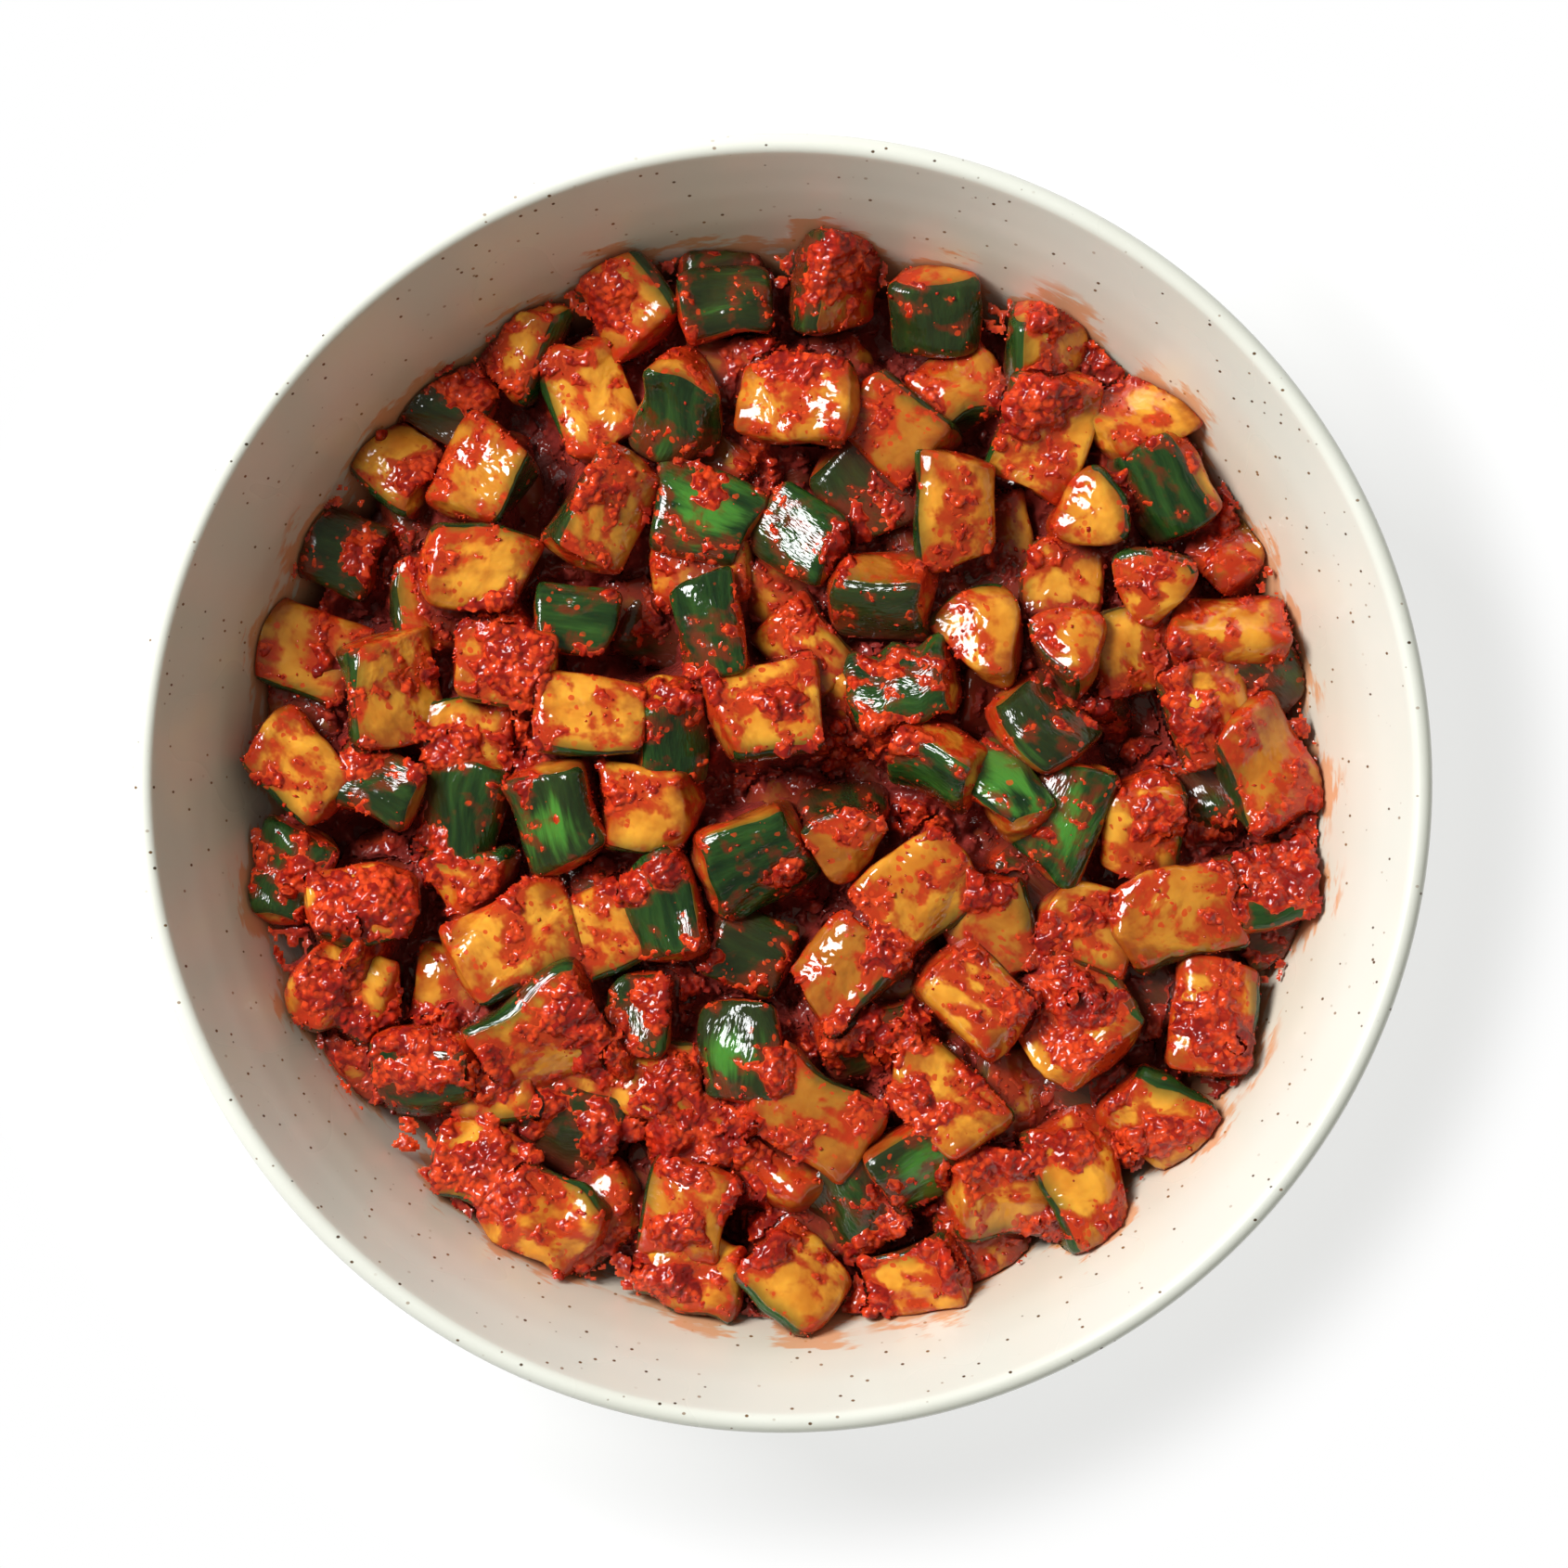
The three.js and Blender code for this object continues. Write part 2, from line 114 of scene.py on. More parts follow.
# %% Lights
KEY_AZIMUTH = math.radians(147)
KEY_ELEVATION = math.radians(48)
KEY_DISTANCE = 1.3
KEY_SIZE = 0.52
KEY_POWER = 21.2
KEY_COLOUR = (0.985, 0.995, 1.0)
SKY_STRENGTH = 0.23
SKY_COLOUR = (0.96, 1.0, 0.84, 1)


def make_key_light():
    """A square soft box on a sphere about the food, turned so that it shines at the bowl's middle."""
    lamp = bpy.data.lights.new("soft_box", "AREA")
    lamp.size = KEY_SIZE
    lamp.energy = KEY_POWER
    lamp.color = KEY_COLOUR
    light = bpy.data.objects.new("soft_box", lamp)
    flat = math.cos(KEY_ELEVATION) * KEY_DISTANCE
    light.location = (
        flat * math.cos(KEY_AZIMUTH),
        flat * math.sin(KEY_AZIMUTH),
        math.sin(KEY_ELEVATION) * KEY_DISTANCE,
    )
    light.rotation_euler = (math.pi / 2 - KEY_ELEVATION, 0, KEY_AZIMUTH + math.pi / 2)
    bpy.context.scene.collection.objects.link(light)


def make_sky():
    """An even sky, a little yellow, as light is that has come back from a pale room."""
    world = bpy.data.worlds.new("sky")
    world.use_nodes = True
    backdrop = world.node_tree.nodes["Background"]
    backdrop.inputs["Color"].default_value = SKY_COLOUR
    backdrop.inputs["Strength"].default_value = SKY_STRENGTH
    bpy.context.scene.world = world


make_key_light()
make_sky()
bpy.context.scene.view_settings.view_transform = "Standard"
print("key light", round(math.degrees(KEY_ELEVATION)), "degrees high")

# %% [markdown]
# ## Helpers for meshes and materials
# A mesh here is worked out as whole numpy arrays and handed over in one go, which is thousands of times
# quicker than adding vertices one by one. A grid of points becomes triangles by a pattern of index numbers,
# and that pattern is the same for every grid of one size.

# %% Mesh helpers
def grid_triangles(rows, columns):
    """Two triangles for each cell of a grid numbered row by row, its last column joined to its first."""
    row = np.arange(rows - 1)[:, None]
    column = np.arange(columns)[None, :]
    beside = (column + 1) % columns
    a, b = row * columns + column, row * columns + beside
    c, d = a + columns, b + columns
    return np.stack([a, b, d, a, d, c], -1).reshape(-1, 3)


def make_piece(name, points, triangles, fields=None):
    """A smooth shaded mesh from points in millimetres; a field has one number or vector for each point."""
    mesh = bpy.data.meshes.new(name)
    mesh.vertices.add(len(points))
    mesh.vertices.foreach_set("co", np.asarray(points * MM, np.float32).ravel())
    mesh.loops.add(triangles.size)
    mesh.loops.foreach_set("vertex_index", triangles.astype(np.int32).ravel())
    mesh.polygons.add(len(triangles))
    mesh.polygons.foreach_set("loop_start", np.arange(0, triangles.size, 3, dtype=np.int32))
    mesh.polygons.foreach_set("use_smooth", np.ones(len(triangles), bool))
    for field, values in (fields or {}).items():
        kind, key = ("FLOAT_VECTOR", "vector") if values.ndim == 2 else ("FLOAT", "value")
        mesh.attributes.new(field, kind, "POINT").data.foreach_set(key, values.astype(np.float32).ravel())
    mesh.update()
    mesh.validate()
    piece = bpy.data.objects.new(name, mesh)
    bpy.context.scene.collection.objects.link(piece)
    return piece


def stand_for(piece, node, material):
    """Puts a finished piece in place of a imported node, on the one body, with its material."""
    piece.data.materials.clear()
    piece.data.materials.append(material)
    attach(piece, "root")
    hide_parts(node)
    print(piece.name, "has", len(piece.data.polygons), "triangles")


print("meshes are written in units of", MM, "m")

# %% [markdown]
# A material is a small chain of nodes. The class below writes such a chain in a few words: each call adds a
# node and returns its output, so that a pattern can be written as one formula inside another.

# %% Material helper
class Finish:
    """A new material and short ways to add nodes to it."""

    def __init__(self, name):
        self.material = bpy.data.materials.new(name)
        self.material.use_nodes = True
        self.nodes = self.material.node_tree.nodes
        self.links = self.material.node_tree.links
        self.shader = self.nodes["Principled BSDF"]

    def feed(self, socket, value):
        """Links an output to a socket, or sets a plain value on it."""
        if isinstance(value, bpy.types.NodeSocket):
            self.links.new(value, socket)
        else:
            socket.default_value = value

    def set(self, **sockets):
        """Feeds the shader's sockets, named with _ for a space."""
        for name, value in sockets.items():
            self.feed(self.shader.inputs[name.replace("_", " ")], value)

    def add(self, kind, inputs=(), output=0, **settings):
        """A node with settings and inputs by place or name; returns one output."""
        node = self.nodes.new("ShaderNode" + kind)
        for name, value in settings.items():
            setattr(node, name, value)
        for key, value in dict(inputs).items():
            self.feed(node.inputs[key], value)
        return node.outputs[output]

    def field(self, name, output=2):
        """An attribute of the mesh: output 2 is a number, 1 a vector."""
        return self.add("Attribute", output=output, attribute_name=name)

    def place(self):
        """The point's own place on the object."""
        return self.add("TexCoord", output=3)

    def stretch(self, vector, scale):
        """The vector with each axis scaled."""
        return self.add("Mapping", {"Vector": vector, "Scale": scale})

    def noise(self, vector, scale, detail=2.0, roughness=0.5):
        """Cloudy noise about 0.5, with that many lumps per metre or unit."""
        inputs = {"Vector": vector, "Scale": scale, "Detail": detail, "Roughness": roughness}
        return self.add("TexNoise", inputs)

    def part(self, vector, axis):
        """One axis of a vector."""
        return self.add("SeparateXYZ", {0: vector}, axis)

    def upward(self):
        """The Z of the surface's normal: 1 where it faces straight up."""
        return self.part(self.add("NewGeometry", output=1), "Z")

    def cells(self, vector, scale):
        """Distance to the nearest of scattered points, and that point's own number from 0 to 1."""
        far = self.add("TexVoronoi", {"Vector": vector, "Scale": scale}, "Distance")
        return far, self.part(far.node.outputs["Color"], "X")

    def step(self, value, low, high, out_low=0.0, out_high=1.0):
        """Smooth step from out_low to out_high as value goes from low to high."""
        inputs = {0: value, 1: low, 2: high, 3: out_low, 4: out_high}
        return self.add("MapRange", inputs, interpolation_type="SMOOTHSTEP")

    def sum(self, a, b):
        return self.add("Math", {0: a, 1: b}, operation="ADD")

    def times(self, a, b):
        return self.add("Math", {0: a, 1: b}, operation="MULTIPLY")

    def less(self, a, b):
        return self.add("Math", {0: a, 1: b}, operation="SUBTRACT")

    def mix(self, share, a, b):
        """Colour a, going over to b as share goes from 0 to 1."""
        return self.add("MixRGB", {0: share, 1: a, 2: b})

    def layers(self, base, fields, rows):
        """Colours laid over a base: each row's, up to its share, as its field goes from low to high."""
        for name, low, high, share, over in rows:
            base = self.mix(self.step(fields[name], low, high, 0.0, share), base, over)
        return base

    def bump(self, height, distance, strength):
        """A surface normal from a height pattern, distance in metres."""
        return self.add("Bump", {"Height": height, "Distance": distance, "Strength": strength})


def colour(red, green, blue):
    """An opaque colour from linear parts."""
    return (red, green, blue, 1.0)


print("a finish has", len([name for name in dir(Finish) if name[0] != "_"]), "short ways to add nodes")

# %% [markdown]
# ## The bowl
# A bowl like this is thrown on a wheel, so it is one profile turned about its axis. The inside is a flat
# floor, one soft bend and a straight wall that leans out; the outside follows it at the wall's thickness and
# ends on a foot ring. Turning a profile could be left to a Screw modifier, but a grid of radius and angle
# gives the same surface at once and lets the throwing rings be added as a formula.

# %% Bowl profile
BEND_STEPS = 36
floor_z = FOOT_HEIGHT + WALL
wall_top = np.array(
    [
        RIM_RADIUS - WALL / 2 * (1 + math.cos(WALL_LEAN)),
        BOWL_HEIGHT - WALL / 2 * (1 - math.sin(WALL_LEAN)),
    ]
)


def on_wall(z):
    """Point of the straight inner wall at height z: as far in as the tangent of its lean takes it."""
    return np.array([wall_top[0] - (wall_top[1] - z) * math.tan(WALL_LEAN), z])


def wall_line(inset):
    """Inside of the bowl from floor edge to wall top, moved in by inset: a quadratic Bezier, then a line."""
    t = np.linspace(0, 1, BEND_STEPS)[:, None]
    start, corner, end = np.array([FLOOR_RADIUS, floor_z]), on_wall(floor_z), on_wall(WALL_START_Z)
    bend = (1 - t) ** 2 * start + 2 * t * (1 - t) * corner + t**2 * end
    along = 2 * (1 - t) * (corner - start) + 2 * t * (end - corner)
    s = np.linspace(0, 1, BEND_STEPS)[1:, None]
    straight = end + s * (wall_top - end)
    line = np.vstack([bend, straight])
    along = np.vstack([along, np.repeat([wall_top - end], len(s), 0)])
    along /= np.linalg.norm(along, axis=1)[:, None]
    return line + inset * np.column_stack([-along[:, 1], along[:, 0]])


def wall_radius(z):
    """Radius of the bowl's inside at each height, read off the wall line."""
    line = wall_line(0)
    return np.interp(z, line[:, 1], line[:, 0])


print("inside radius at the food:", round(float(wall_radius(HEAP_TOP - HEAP_SINK)), 1), "mm")

# %% Bowl outline
LIP_STEPS = 14
FOOT_STEPS = 5
FLAT_STEPS = 8
FOOT_BEND = 1.4
FOOT_INNER_EASE = 0.8
RECESS_EASE = 1.0
POLE = 0.01


def quarter(middle, radius, start, end, steps):
    """Points of an arc in the profile's plane, from one angle to another."""
    turn = np.linspace(math.radians(start), math.radians(end), steps)
    return np.array(middle) + radius * np.column_stack([np.cos(turn), np.sin(turn)])


def level_line(start, end, z):
    """Points of the profile along one height."""
    return np.column_stack([np.linspace(start, end, FLAT_STEPS), np.full(FLAT_STEPS, z)])


def bowl_profile():
    """The whole outline from the underside's middle, round foot and lip, to the floor's middle."""
    foot_inside = FOOT_RADIUS - FOOT_WIDTH - 2 * FOOT_EASE
    outside = wall_line(-WALL)
    outside = outside[outside[:, 0] > FOOT_RADIUS + FOOT_EASE]
    lean = math.degrees(WALL_LEAN)
    middle = (RIM_RADIUS - WALL / 2, BOWL_HEIGHT - WALL / 2)
    return np.vstack(
        [
            level_line(POLE, foot_inside - RECESS_EASE, FOOT_RECESS),
            quarter((foot_inside, FOOT_RECESS - RECESS_EASE), RECESS_EASE, 90, 0, FOOT_STEPS),
            quarter((foot_inside + FOOT_EASE, FOOT_INNER_EASE), FOOT_INNER_EASE, 200, 270, FOOT_STEPS),
            quarter((FOOT_RADIUS - FOOT_EASE, FOOT_EASE), FOOT_EASE, 270, 360, FOOT_STEPS),
            [[FOOT_RADIUS, FOOT_HEIGHT - FOOT_BEND]],
            quarter((FOOT_RADIUS + FOOT_BEND, FOOT_HEIGHT - FOOT_BEND), FOOT_BEND, 180, 95, FOOT_STEPS),
            outside,
            quarter(middle, WALL / 2, -lean, 180 - lean, LIP_STEPS)[1:-1],
            wall_line(0)[::-1],
            level_line(FLOOR_RADIUS - 5, POLE, floor_z),
        ]
    )


profile = bowl_profile()
print("profile of", len(profile), "points")

# %% Turned bowl
BOWL_COLUMNS = 256
THROWING_RIPPLE = 0.025
THROWING_PITCH = 9.0
THROWING_TURN = 0.6
RIM_FADE = 12.0
FOOT_FADE = 8.0


def turn_profile(profile, columns, ripple=0.0):
    """Each profile point goes round the axis.

    The ripple moves the wall in and out by a sine of its height, as throwing rings do, and fades towards the
    rim and the foot.
    """
    turn = np.linspace(0, 2 * math.pi, columns, endpoint=False)
    radius, z = profile[:, :1], profile[:, 1:]
    wave = ripple * np.sin(2 * math.pi * z / THROWING_PITCH + THROWING_TURN * np.sin(turn))
    wave = wave * (radius > FLOOR_RADIUS)
    wave *= np.clip((BOWL_HEIGHT - z) / RIM_FADE, 0, 1) * np.clip((z - FOOT_HEIGHT - 1) / FOOT_FADE, 0, 1)
    r = radius + wave
    return np.stack([r * np.cos(turn), r * np.sin(turn), np.broadcast_to(z, r.shape)], -1).reshape(-1, 3)


rings = grid_triangles(len(profile), BOWL_COLUMNS)
round_pole = np.arange(BOWL_COLUMNS)
last_ring = (len(profile) - 1) * BOWL_COLUMNS
beside = np.roll(round_pole, -1)
fan = np.column_stack([beside[1:-1], round_pole[1:-1], np.zeros(BOWL_COLUMNS - 2, int)])
triangles = np.vstack([rings, fan, fan[:, ::-1] + last_ring])
bowl = make_piece("stoneware_bowl", turn_profile(profile, BOWL_COLUMNS, THROWING_RIPPLE), triangles)
print("bowl of", len(triangles), "triangles in", BOWL_COLUMNS, "columns")

# %% [markdown]
# The glaze is off-white with a faint warm cast and sparse, small, brown iron specks, which are short dashes,
# not dots. They come from the object's own coordinates, so they stay put whatever the view. The wall is
# painted a little browner towards the food, as painted shade and red light bounced off the food. It is
# smeared with chilli oil along the food, and painted dark red where they touch, as juice and as the shade
# of the contact. Smears and the dark red follow a field of nearness to the food, near_food, that is added
# once the heap is there.

# %% Glaze
GLAZE_WARM, GLAZE_COOL = colour(0.80, 0.79, 0.71), colour(0.85, 0.855, 0.79)
SPECK_PALE, SPECK_DARK = colour(0.45, 0.22, 0.07), colour(0.05, 0.03, 0.018)
# Painted shade and red light bounced off the food: the wall browner towards the food line.
WALL_SHADE_AND_BOUNCE = colour(0.60, 0.32, 0.11)
DRIED_OIL = colour(0.76, 0.26, 0.05)
# Juice and painted contact shade: dark red where the wall meets the food.
RED_JUICE_AND_CONTACT_SHADE = colour(0.26, 0.045, 0.014)
SPECKS_PER_METRE = 320
SPECK_STRETCH = (1.0, 1.3, 0.8)
SMEARS_PER_METRE = 90
SMEAR_STRETCH = (1.0, 1.0, 3.2)
WALL_SHADE_HEIGHTS = (0.050, 0.078)


def make_glaze():
    """Off-white gloss under specks, painted shade, smears and dark red, each laid over the last.

    Specks are scattered points cut to a small radius, some of them left out, each with its own brown. The
    painted shade, a brown of shade and light bounced off the food, fades with height. Smears are stretched
    noise cut at a level that sinks near the food. The dark red where the wall meets the food is juice and
    painted shade of the contact.
    """
    finish = Finish("speckled_glaze")
    place, near = finish.place(), finish.field("near_food")
    cloud = finish.noise(place, 28, 1)
    base = finish.mix(cloud, GLAZE_WARM, GLAZE_COOL)
    far, own = finish.cells(finish.stretch(place, SPECK_STRETCH), SPECKS_PER_METRE)
    speck = finish.times(finish.step(far, 0.16, 0.09), finish.step(own, 0.3, 0.65))
    speckled = finish.mix(speck, base, finish.mix(own, SPECK_PALE, SPECK_DARK))
    inside = finish.step(finish.upward(), 0.0, 0.1)
    # Painted shade and bounced red light, fading with height from the food line.
    wall_shade = finish.step(finish.part(place, "Z"), *WALL_SHADE_HEIGHTS, 0.33, 0.0)
    wall_shaded = finish.mix(finish.times(wall_shade, inside), speckled, WALL_SHADE_AND_BOUNCE)
    swipe = finish.noise(finish.stretch(place, SMEAR_STRETCH), SMEARS_PER_METRE, 3, 0.66)
    patchy = finish.sum(swipe, finish.times(cloud, 0.5))
    dried = finish.step(finish.sum(patchy, finish.times(near, 0.8)), 0.88, 1.0)
    oil = finish.times(finish.times(dried, finish.step(near, 0.005, 0.12)), inside)
    oiled = finish.mix(finish.times(oil, 0.68), wall_shaded, DRIED_OIL)
    # Juice and painted contact shade, where the food meets the wall.
    juice_and_contact_shade = finish.times(finish.step(near, 0.3, 0.75, 0.0, 0.9), inside)
    finish.set(Base_Color=finish.mix(juice_and_contact_shade, oiled, RED_JUICE_AND_CONTACT_SHADE), IOR=1.5)
    finish.set(Roughness=finish.step(cloud, 0.2, 0.8, 0.24, 0.36), Coat_Weight=0.25, Coat_Roughness=0.12)
    return finish.material


stand_for(bowl, "bowl", make_glaze())

# %% [markdown]
# ## Where the chunks lie
# Every chunk that shows is one line: the face it turns up, the middle of that face, the way it points, and
# how it leans. The heading is the cucumber's own direction for a chunk that shows skin or core, and the
# direction of the skin for one that shows a cut side or an end. Level 0 is the top of the heap.

# %% Chunk list
# Face up, x, y, heading, lean towards, lean, level, then length, width and depth where not the usual.
CHUNKS = [
    ("cut", -57, 92, 340, 160, 25, 1), ("skin", -73, 83, 325, 150, 15, 1, 20),
    ("cut", -83, 68, 230, 60, 10, 1), ("cut", -63, 66, 328, 148, 13, 0, 20),
    ("skin", -95, 50, 335, 0, 0, 1, 17), ("cut", -63, 46, 80, 260, 8, 0),
    ("cut", -73, 37, 175, 355, 18, 1), ("cut", -36, 57, 150, 330, 20, 0, 21),
    ("cut", -33, 101, 30, 210, 22, 0), ("skin", -11, 102, 8, 98, 12, 0, 20, 15),
    ("skin", -12, 111, 5, 90, 20, 1), ("cut", 14, 105, 180, 0, 25, 0),
    ("skin", 31, 97, 90, 270, 25, 0, 17, 19), ("skin", -22, 75, 78, 265, 38, 0, 19, 17),
    ("cut", 2, 82, 90, 90, 22, 0, 21, 20, 18), ("cut", -11, 88, 90, 0, 0, 1),
    ("cut", -41, 81, 200, 0, 0, 1, 21), ("cut", 24, 75, 50, 230, 10, 0, 20),
    ("cut", 37, 84, 300, 0, 0, 1), ("skin", 3, 53, 332, 147, 18, 0, 17, 17),
    ("skin", -17, 57, 340, 120, 12, 0, 20), ("skin", 17, 61, 312, 230, 15, 1),
    ("cut", 36, 57, 186, 0, 5, 0, 21, 18, 16), ("cut", -18, 46, 100, 0, 0, 1),
    ("cut", 58, 89, 180, 0, 22, 0, 18), ("cut", 75, 80, 116, 116, 12, 0, 18),
    ("cut", 54, 73, 160, 340, 5, 0, 21, 20, 18), ("skin", 78, 60, 303, 212, 35, 0, 21),
    ("end", 63, 57, 25, 0, 0, 0), ("end", 94, 51, 92, 0, 0, 1, 19, 20, 18),
    ("end", 78, 40, 90, 270, 22, 0), ("cut", 59, 42, 170, 0, 0, 1),
    ("skin", 47, 43, 20, 0, 0, 2), ("cut", -100, 27, 250, 70, 10, 1, 21),
    ("cut", -81, 20, 188, 8, 8, 0, 22, 20, 19), ("cut", -102, 3, 222, 0, 0, 0, 19),
    ("skin", -87, 1, 335, 147, 17, 0, 16, 16), ("skin", -68, -6, 82, 270, 8, 0.5, 19, 17),
    ("skin", -49, -9, 112, 195, 25, 0, 20), ("end", -67, -23, 90, 270, 25, 1),
    ("cut", -87, -25, 270, 90, 20, 0), ("skin", -105, -19, 70, 147, 12, 0, 20, 15),
    ("cut", -58, 24, 262, 0, 0, 0), ("skin", -43, 35, 350, 90, 10, 0, 16, 13),
    ("cut", -40, 15, 265, 85, 10, 0, 21), ("cut", -66, 10, 90, 0, 0, 1),
    ("cut", -55, -33, 294, 114, 8, 0, 24, 20, 20), ("cut", -38, -32, 300, 0, 0, 1),
    ("cut", -105, 14, 200, 0, 0, 2), ("skin", -17, 33, 100, 190, 8, 0, 18, 14),
    ("skin", -22, 8, 85, 5, 20, 0, 20, 14), ("cut", -3, 16, 280, 100, 15, 0, 22, 20, 18),
    ("skin", 20, 34, 0, 270, 38, 0, 20), ("skin", 24, 21, 12, 147, 15, 0, 22, 18),
    ("cut", 5, 29, 40, 0, 0, 1), ("cut", 2, 40, 35, 0, 0, 1.5),
    ("end", 42, 32, 120, 0, 0, 0, 18, 20, 19), ("cut", -29, -6, 270, 0, 0, 0),
    ("skin", -28, -26, 110, 200, 25, 0, 20), ("skin", -4, -18, 25, 300, 30, 0, 22, 20, 18),
    ("end", 13, -14, 95, 0, 0, 0), ("cut", 30, -24, 308, 308, 8, 0, 21, 19, 18),
    ("cut", 13, -39, 315, 0, 0, 0, 20), ("skin", 29, 0, 340, 250, 38, 0),
    ("skin", -7, -34, 340, 60, 15, 1), ("end", 61, 31, 215, 0, 0, 0),
    ("cut", 74, 29, 110, 0, 0, 1), ("core", 94, 31, 0, 0, 0, 0, 20),
    ("cut", 90, 16, 200, 0, 0, 0), ("skin", 103, 21, 315, 0, 0, 1),
    ("cut", 102, 3, 207, 27, 15, 0, 23, 19, 18), ("skin", 88, -4, 300, 0, 0, 1),
    ("skin", 56, 14, 307, 37, 20, 0, 19), ("skin", 46, 2, 303, 120, 25, 0, 19, 14),
    ("skin", 59, -8, 65, 220, 20, 0, 21, 18), ("cut", 76, -12, 350, 0, 0, 0.5),
    ("skin", 53, -21, 322, 0, 0, 1), ("cut", 45, -31, 20, 0, 0, 0.5),
    ("cut", 41, -43, 45, 0, 0, 0, 20), ("cut", 83, -28, 286, 106, 12, 0, 24, 19, 18),
    ("cut", 65, -31, 250, 0, 0, 0.5), ("skin", 102, -20, 15, 0, 0, 0),
    ("skin", 108, -28, 20, 0, 0, 1), ("cut", 60, -48, 41, 221, 8, 0, 26, 20, 21),
    ("cut", 91, -49, 350, 170, 8, 0, 22), ("cut", 79, -71, 62, 242, 28, 0, 21, 18, 17),
    ("cut", 63, -83, 200, 20, 15, 0, 26, 19, 17), ("cut", 46, -87, 270, 0, 0, 0),
    ("skin", 32, -82, 20, 300, 24, 0, 20, 17), ("cut", 34, -66, 48, 228, 6, 0, 22),
    ("cut", 51, -66, 180, 0, 25, 1), ("skin", 62, -63, 330, 0, 0, 1),
    ("cut", 43, -98, 200, 0, 0, 1), ("skin", 75, -43, 300, 0, 0, 1.3),
    ("cut", -50, -54, 125, 300, 30, 0, 24, 22, 20), ("cut", -62, -62, 278, 98, 6, 0.3, 17),
    ("skin", -76, -65, 0, 270, 32, 0, 18, 20), ("cut", -91, -45, 255, 75, 8, 0, 20),
    ("cut", -89, -58, 235, 0, 0, 1), ("cut", -71, -44, 262, 0, 0, 1, 18),
    ("skin", -46, -74, 345, 255, 22, 0.6), ("cut", -50, -91, 55, 235, 6, 0, 22, 19, 17),
    ("cut", -63, -82, 250, 0, 0, 0.3), ("skin", -53, -79, 80, 0, 0, 1.3),
    ("cut", -38, -64, 70, 0, 0, 1), ("cut", -21, -91, 165, 345, 6, 0, 19, 18, 18),
    ("cut", -16, -72, 95, 275, 8, 0.5, 20), ("cut", -27, -61, 70, 0, 0, 0.8, 15),
    ("skin", -10, -56, 88, 180, 32, 0, 19), ("skin", -31, -48, 80, 147, 18, 0.4, 15, 12),
    ("cut", 7, -69, 55, 235, 5, 0, 22, 19, 18), ("skin", 20, -57, 20, 280, 20, 0.8, 20),
    ("core", 24, -43, 20, 250, 25, 0.8, 15), ("core", -2, -82, 330, 0, 0, 0, 20),
    ("skin", 15, -90, 310, 220, 32, 0.4, 20), ("cut", 3, -104, 228, 48, 16, 0, 21),
    ("cut", 27, -106, 110, 290, 10, 0, 20), ("cut", -19, -103, 250, 0, 0, 0.5),
    ("cut", -39, -92, 300, 0, 0, 1), ("cut", 5, -93, 120, 0, 0, 1.4),
]
print(len(CHUNKS), "chunks show")

# %% Clumps of paste
# x, y, length, width and the way the length runs.
CLUMPS = [
    (-85, -22, 29, 17, 15), (104, -17, 24, 17, 150), (10, 108, 17, 13, 60), (52, 79, 15, 10, 20),
    (-67, 83, 12, 9, 140), (-88, 47, 9, 8, 90), (-36, 102, 9, 8, 90), (57, 97, 6, 6, 0),
    (68, 92, 8, 6, 90), (2, 89, 14, 7, 0), (21, 26, 9, 5, 20), (-89, 6, 6, 6, 0),
    (-103, -21, 7, 4, 60), (-55, 24, 14, 12, 90), (-60, 35, 12, 8, 0), (-71, 8, 12, 7, 30),
    (-55, 5, 14, 5, 90), (83, 22, 12, 5, 90), (85, 15, 10, 9, 0), (67, 15, 7, 6, 0),
    (79, 4, 8, 7, 0), (79, -7, 8, 7, 0), (27, -8, 11, 5, 340), (-32, -22, 6, 6, 0),
    (-25, -19, 5, 5, 0), (0, 17, 8, 5, 20), (5, 5, 20, 9, 10), (20, 10, 18, 8, 0),
    (-22, 20, 12, 5, 10), (-18, -38, 9, 8, 60), (-24, -43, 12, 10, 80), (-63, -81, 17, 15, 60),
    (-18, -77, 17, 10, 0), (94, -55, 12, 8, 160), (95, -61, 8, 6, 20), (45, -22, 8, 7, 0),
    (23, -35, 8, 7, 0), (12, 48, 10, 6, 90), (-15, 62, 5, 5, 0), (-43, 61, 6, 5, 0),
    (1, -20, 7, 4, 20), (-96, -41, 12, 8, 30), (-77, -52, 18, 8, 5), (-76, -61, 17, 5, 0),
    (-88, -54, 12, 9, 0), (-63, -62, 9, 8, 90), (-43, -46, 10, 9, 60), (-39, -55, 12, 9, 100),
    (-49, -68, 9, 4, 30), (-38, -74, 10, 9, 0), (-27, -67, 9, 6, 40), (-22, -60, 7, 6, 330),
    (-9, -73, 9, 8, 0), (-7, -90, 11, 8, 100), (-3, -97, 9, 5, 0), (27, -93, 11, 8, 0),
    (28, -68, 12, 8, 320), (22, -56, 8, 6, 60), (27, -52, 8, 6, 50), (13, -53, 12, 7, 30),
    (-1, -62, 8, 5, 90), (18, -98, 5, 5, 0), (36, -102, 6, 5, 90), (19, -110, 5, 5, 0),
    (-26, -104, 13, 5, 345), (-22, -94, 10, 5, 350), (62, -45, 14, 7, 310), (51, -45, 9, 6, 80),
    (64, -56, 12, 5, 0), (69, -66, 5, 4, 0), (48, -79, 11, 5, 0), (78, -75, 10, 6, 20),
    (61, -77, 8, 6, 30), (88, -50, 14, 10, 150),
]
print(len(CLUMPS), "clumps of paste")

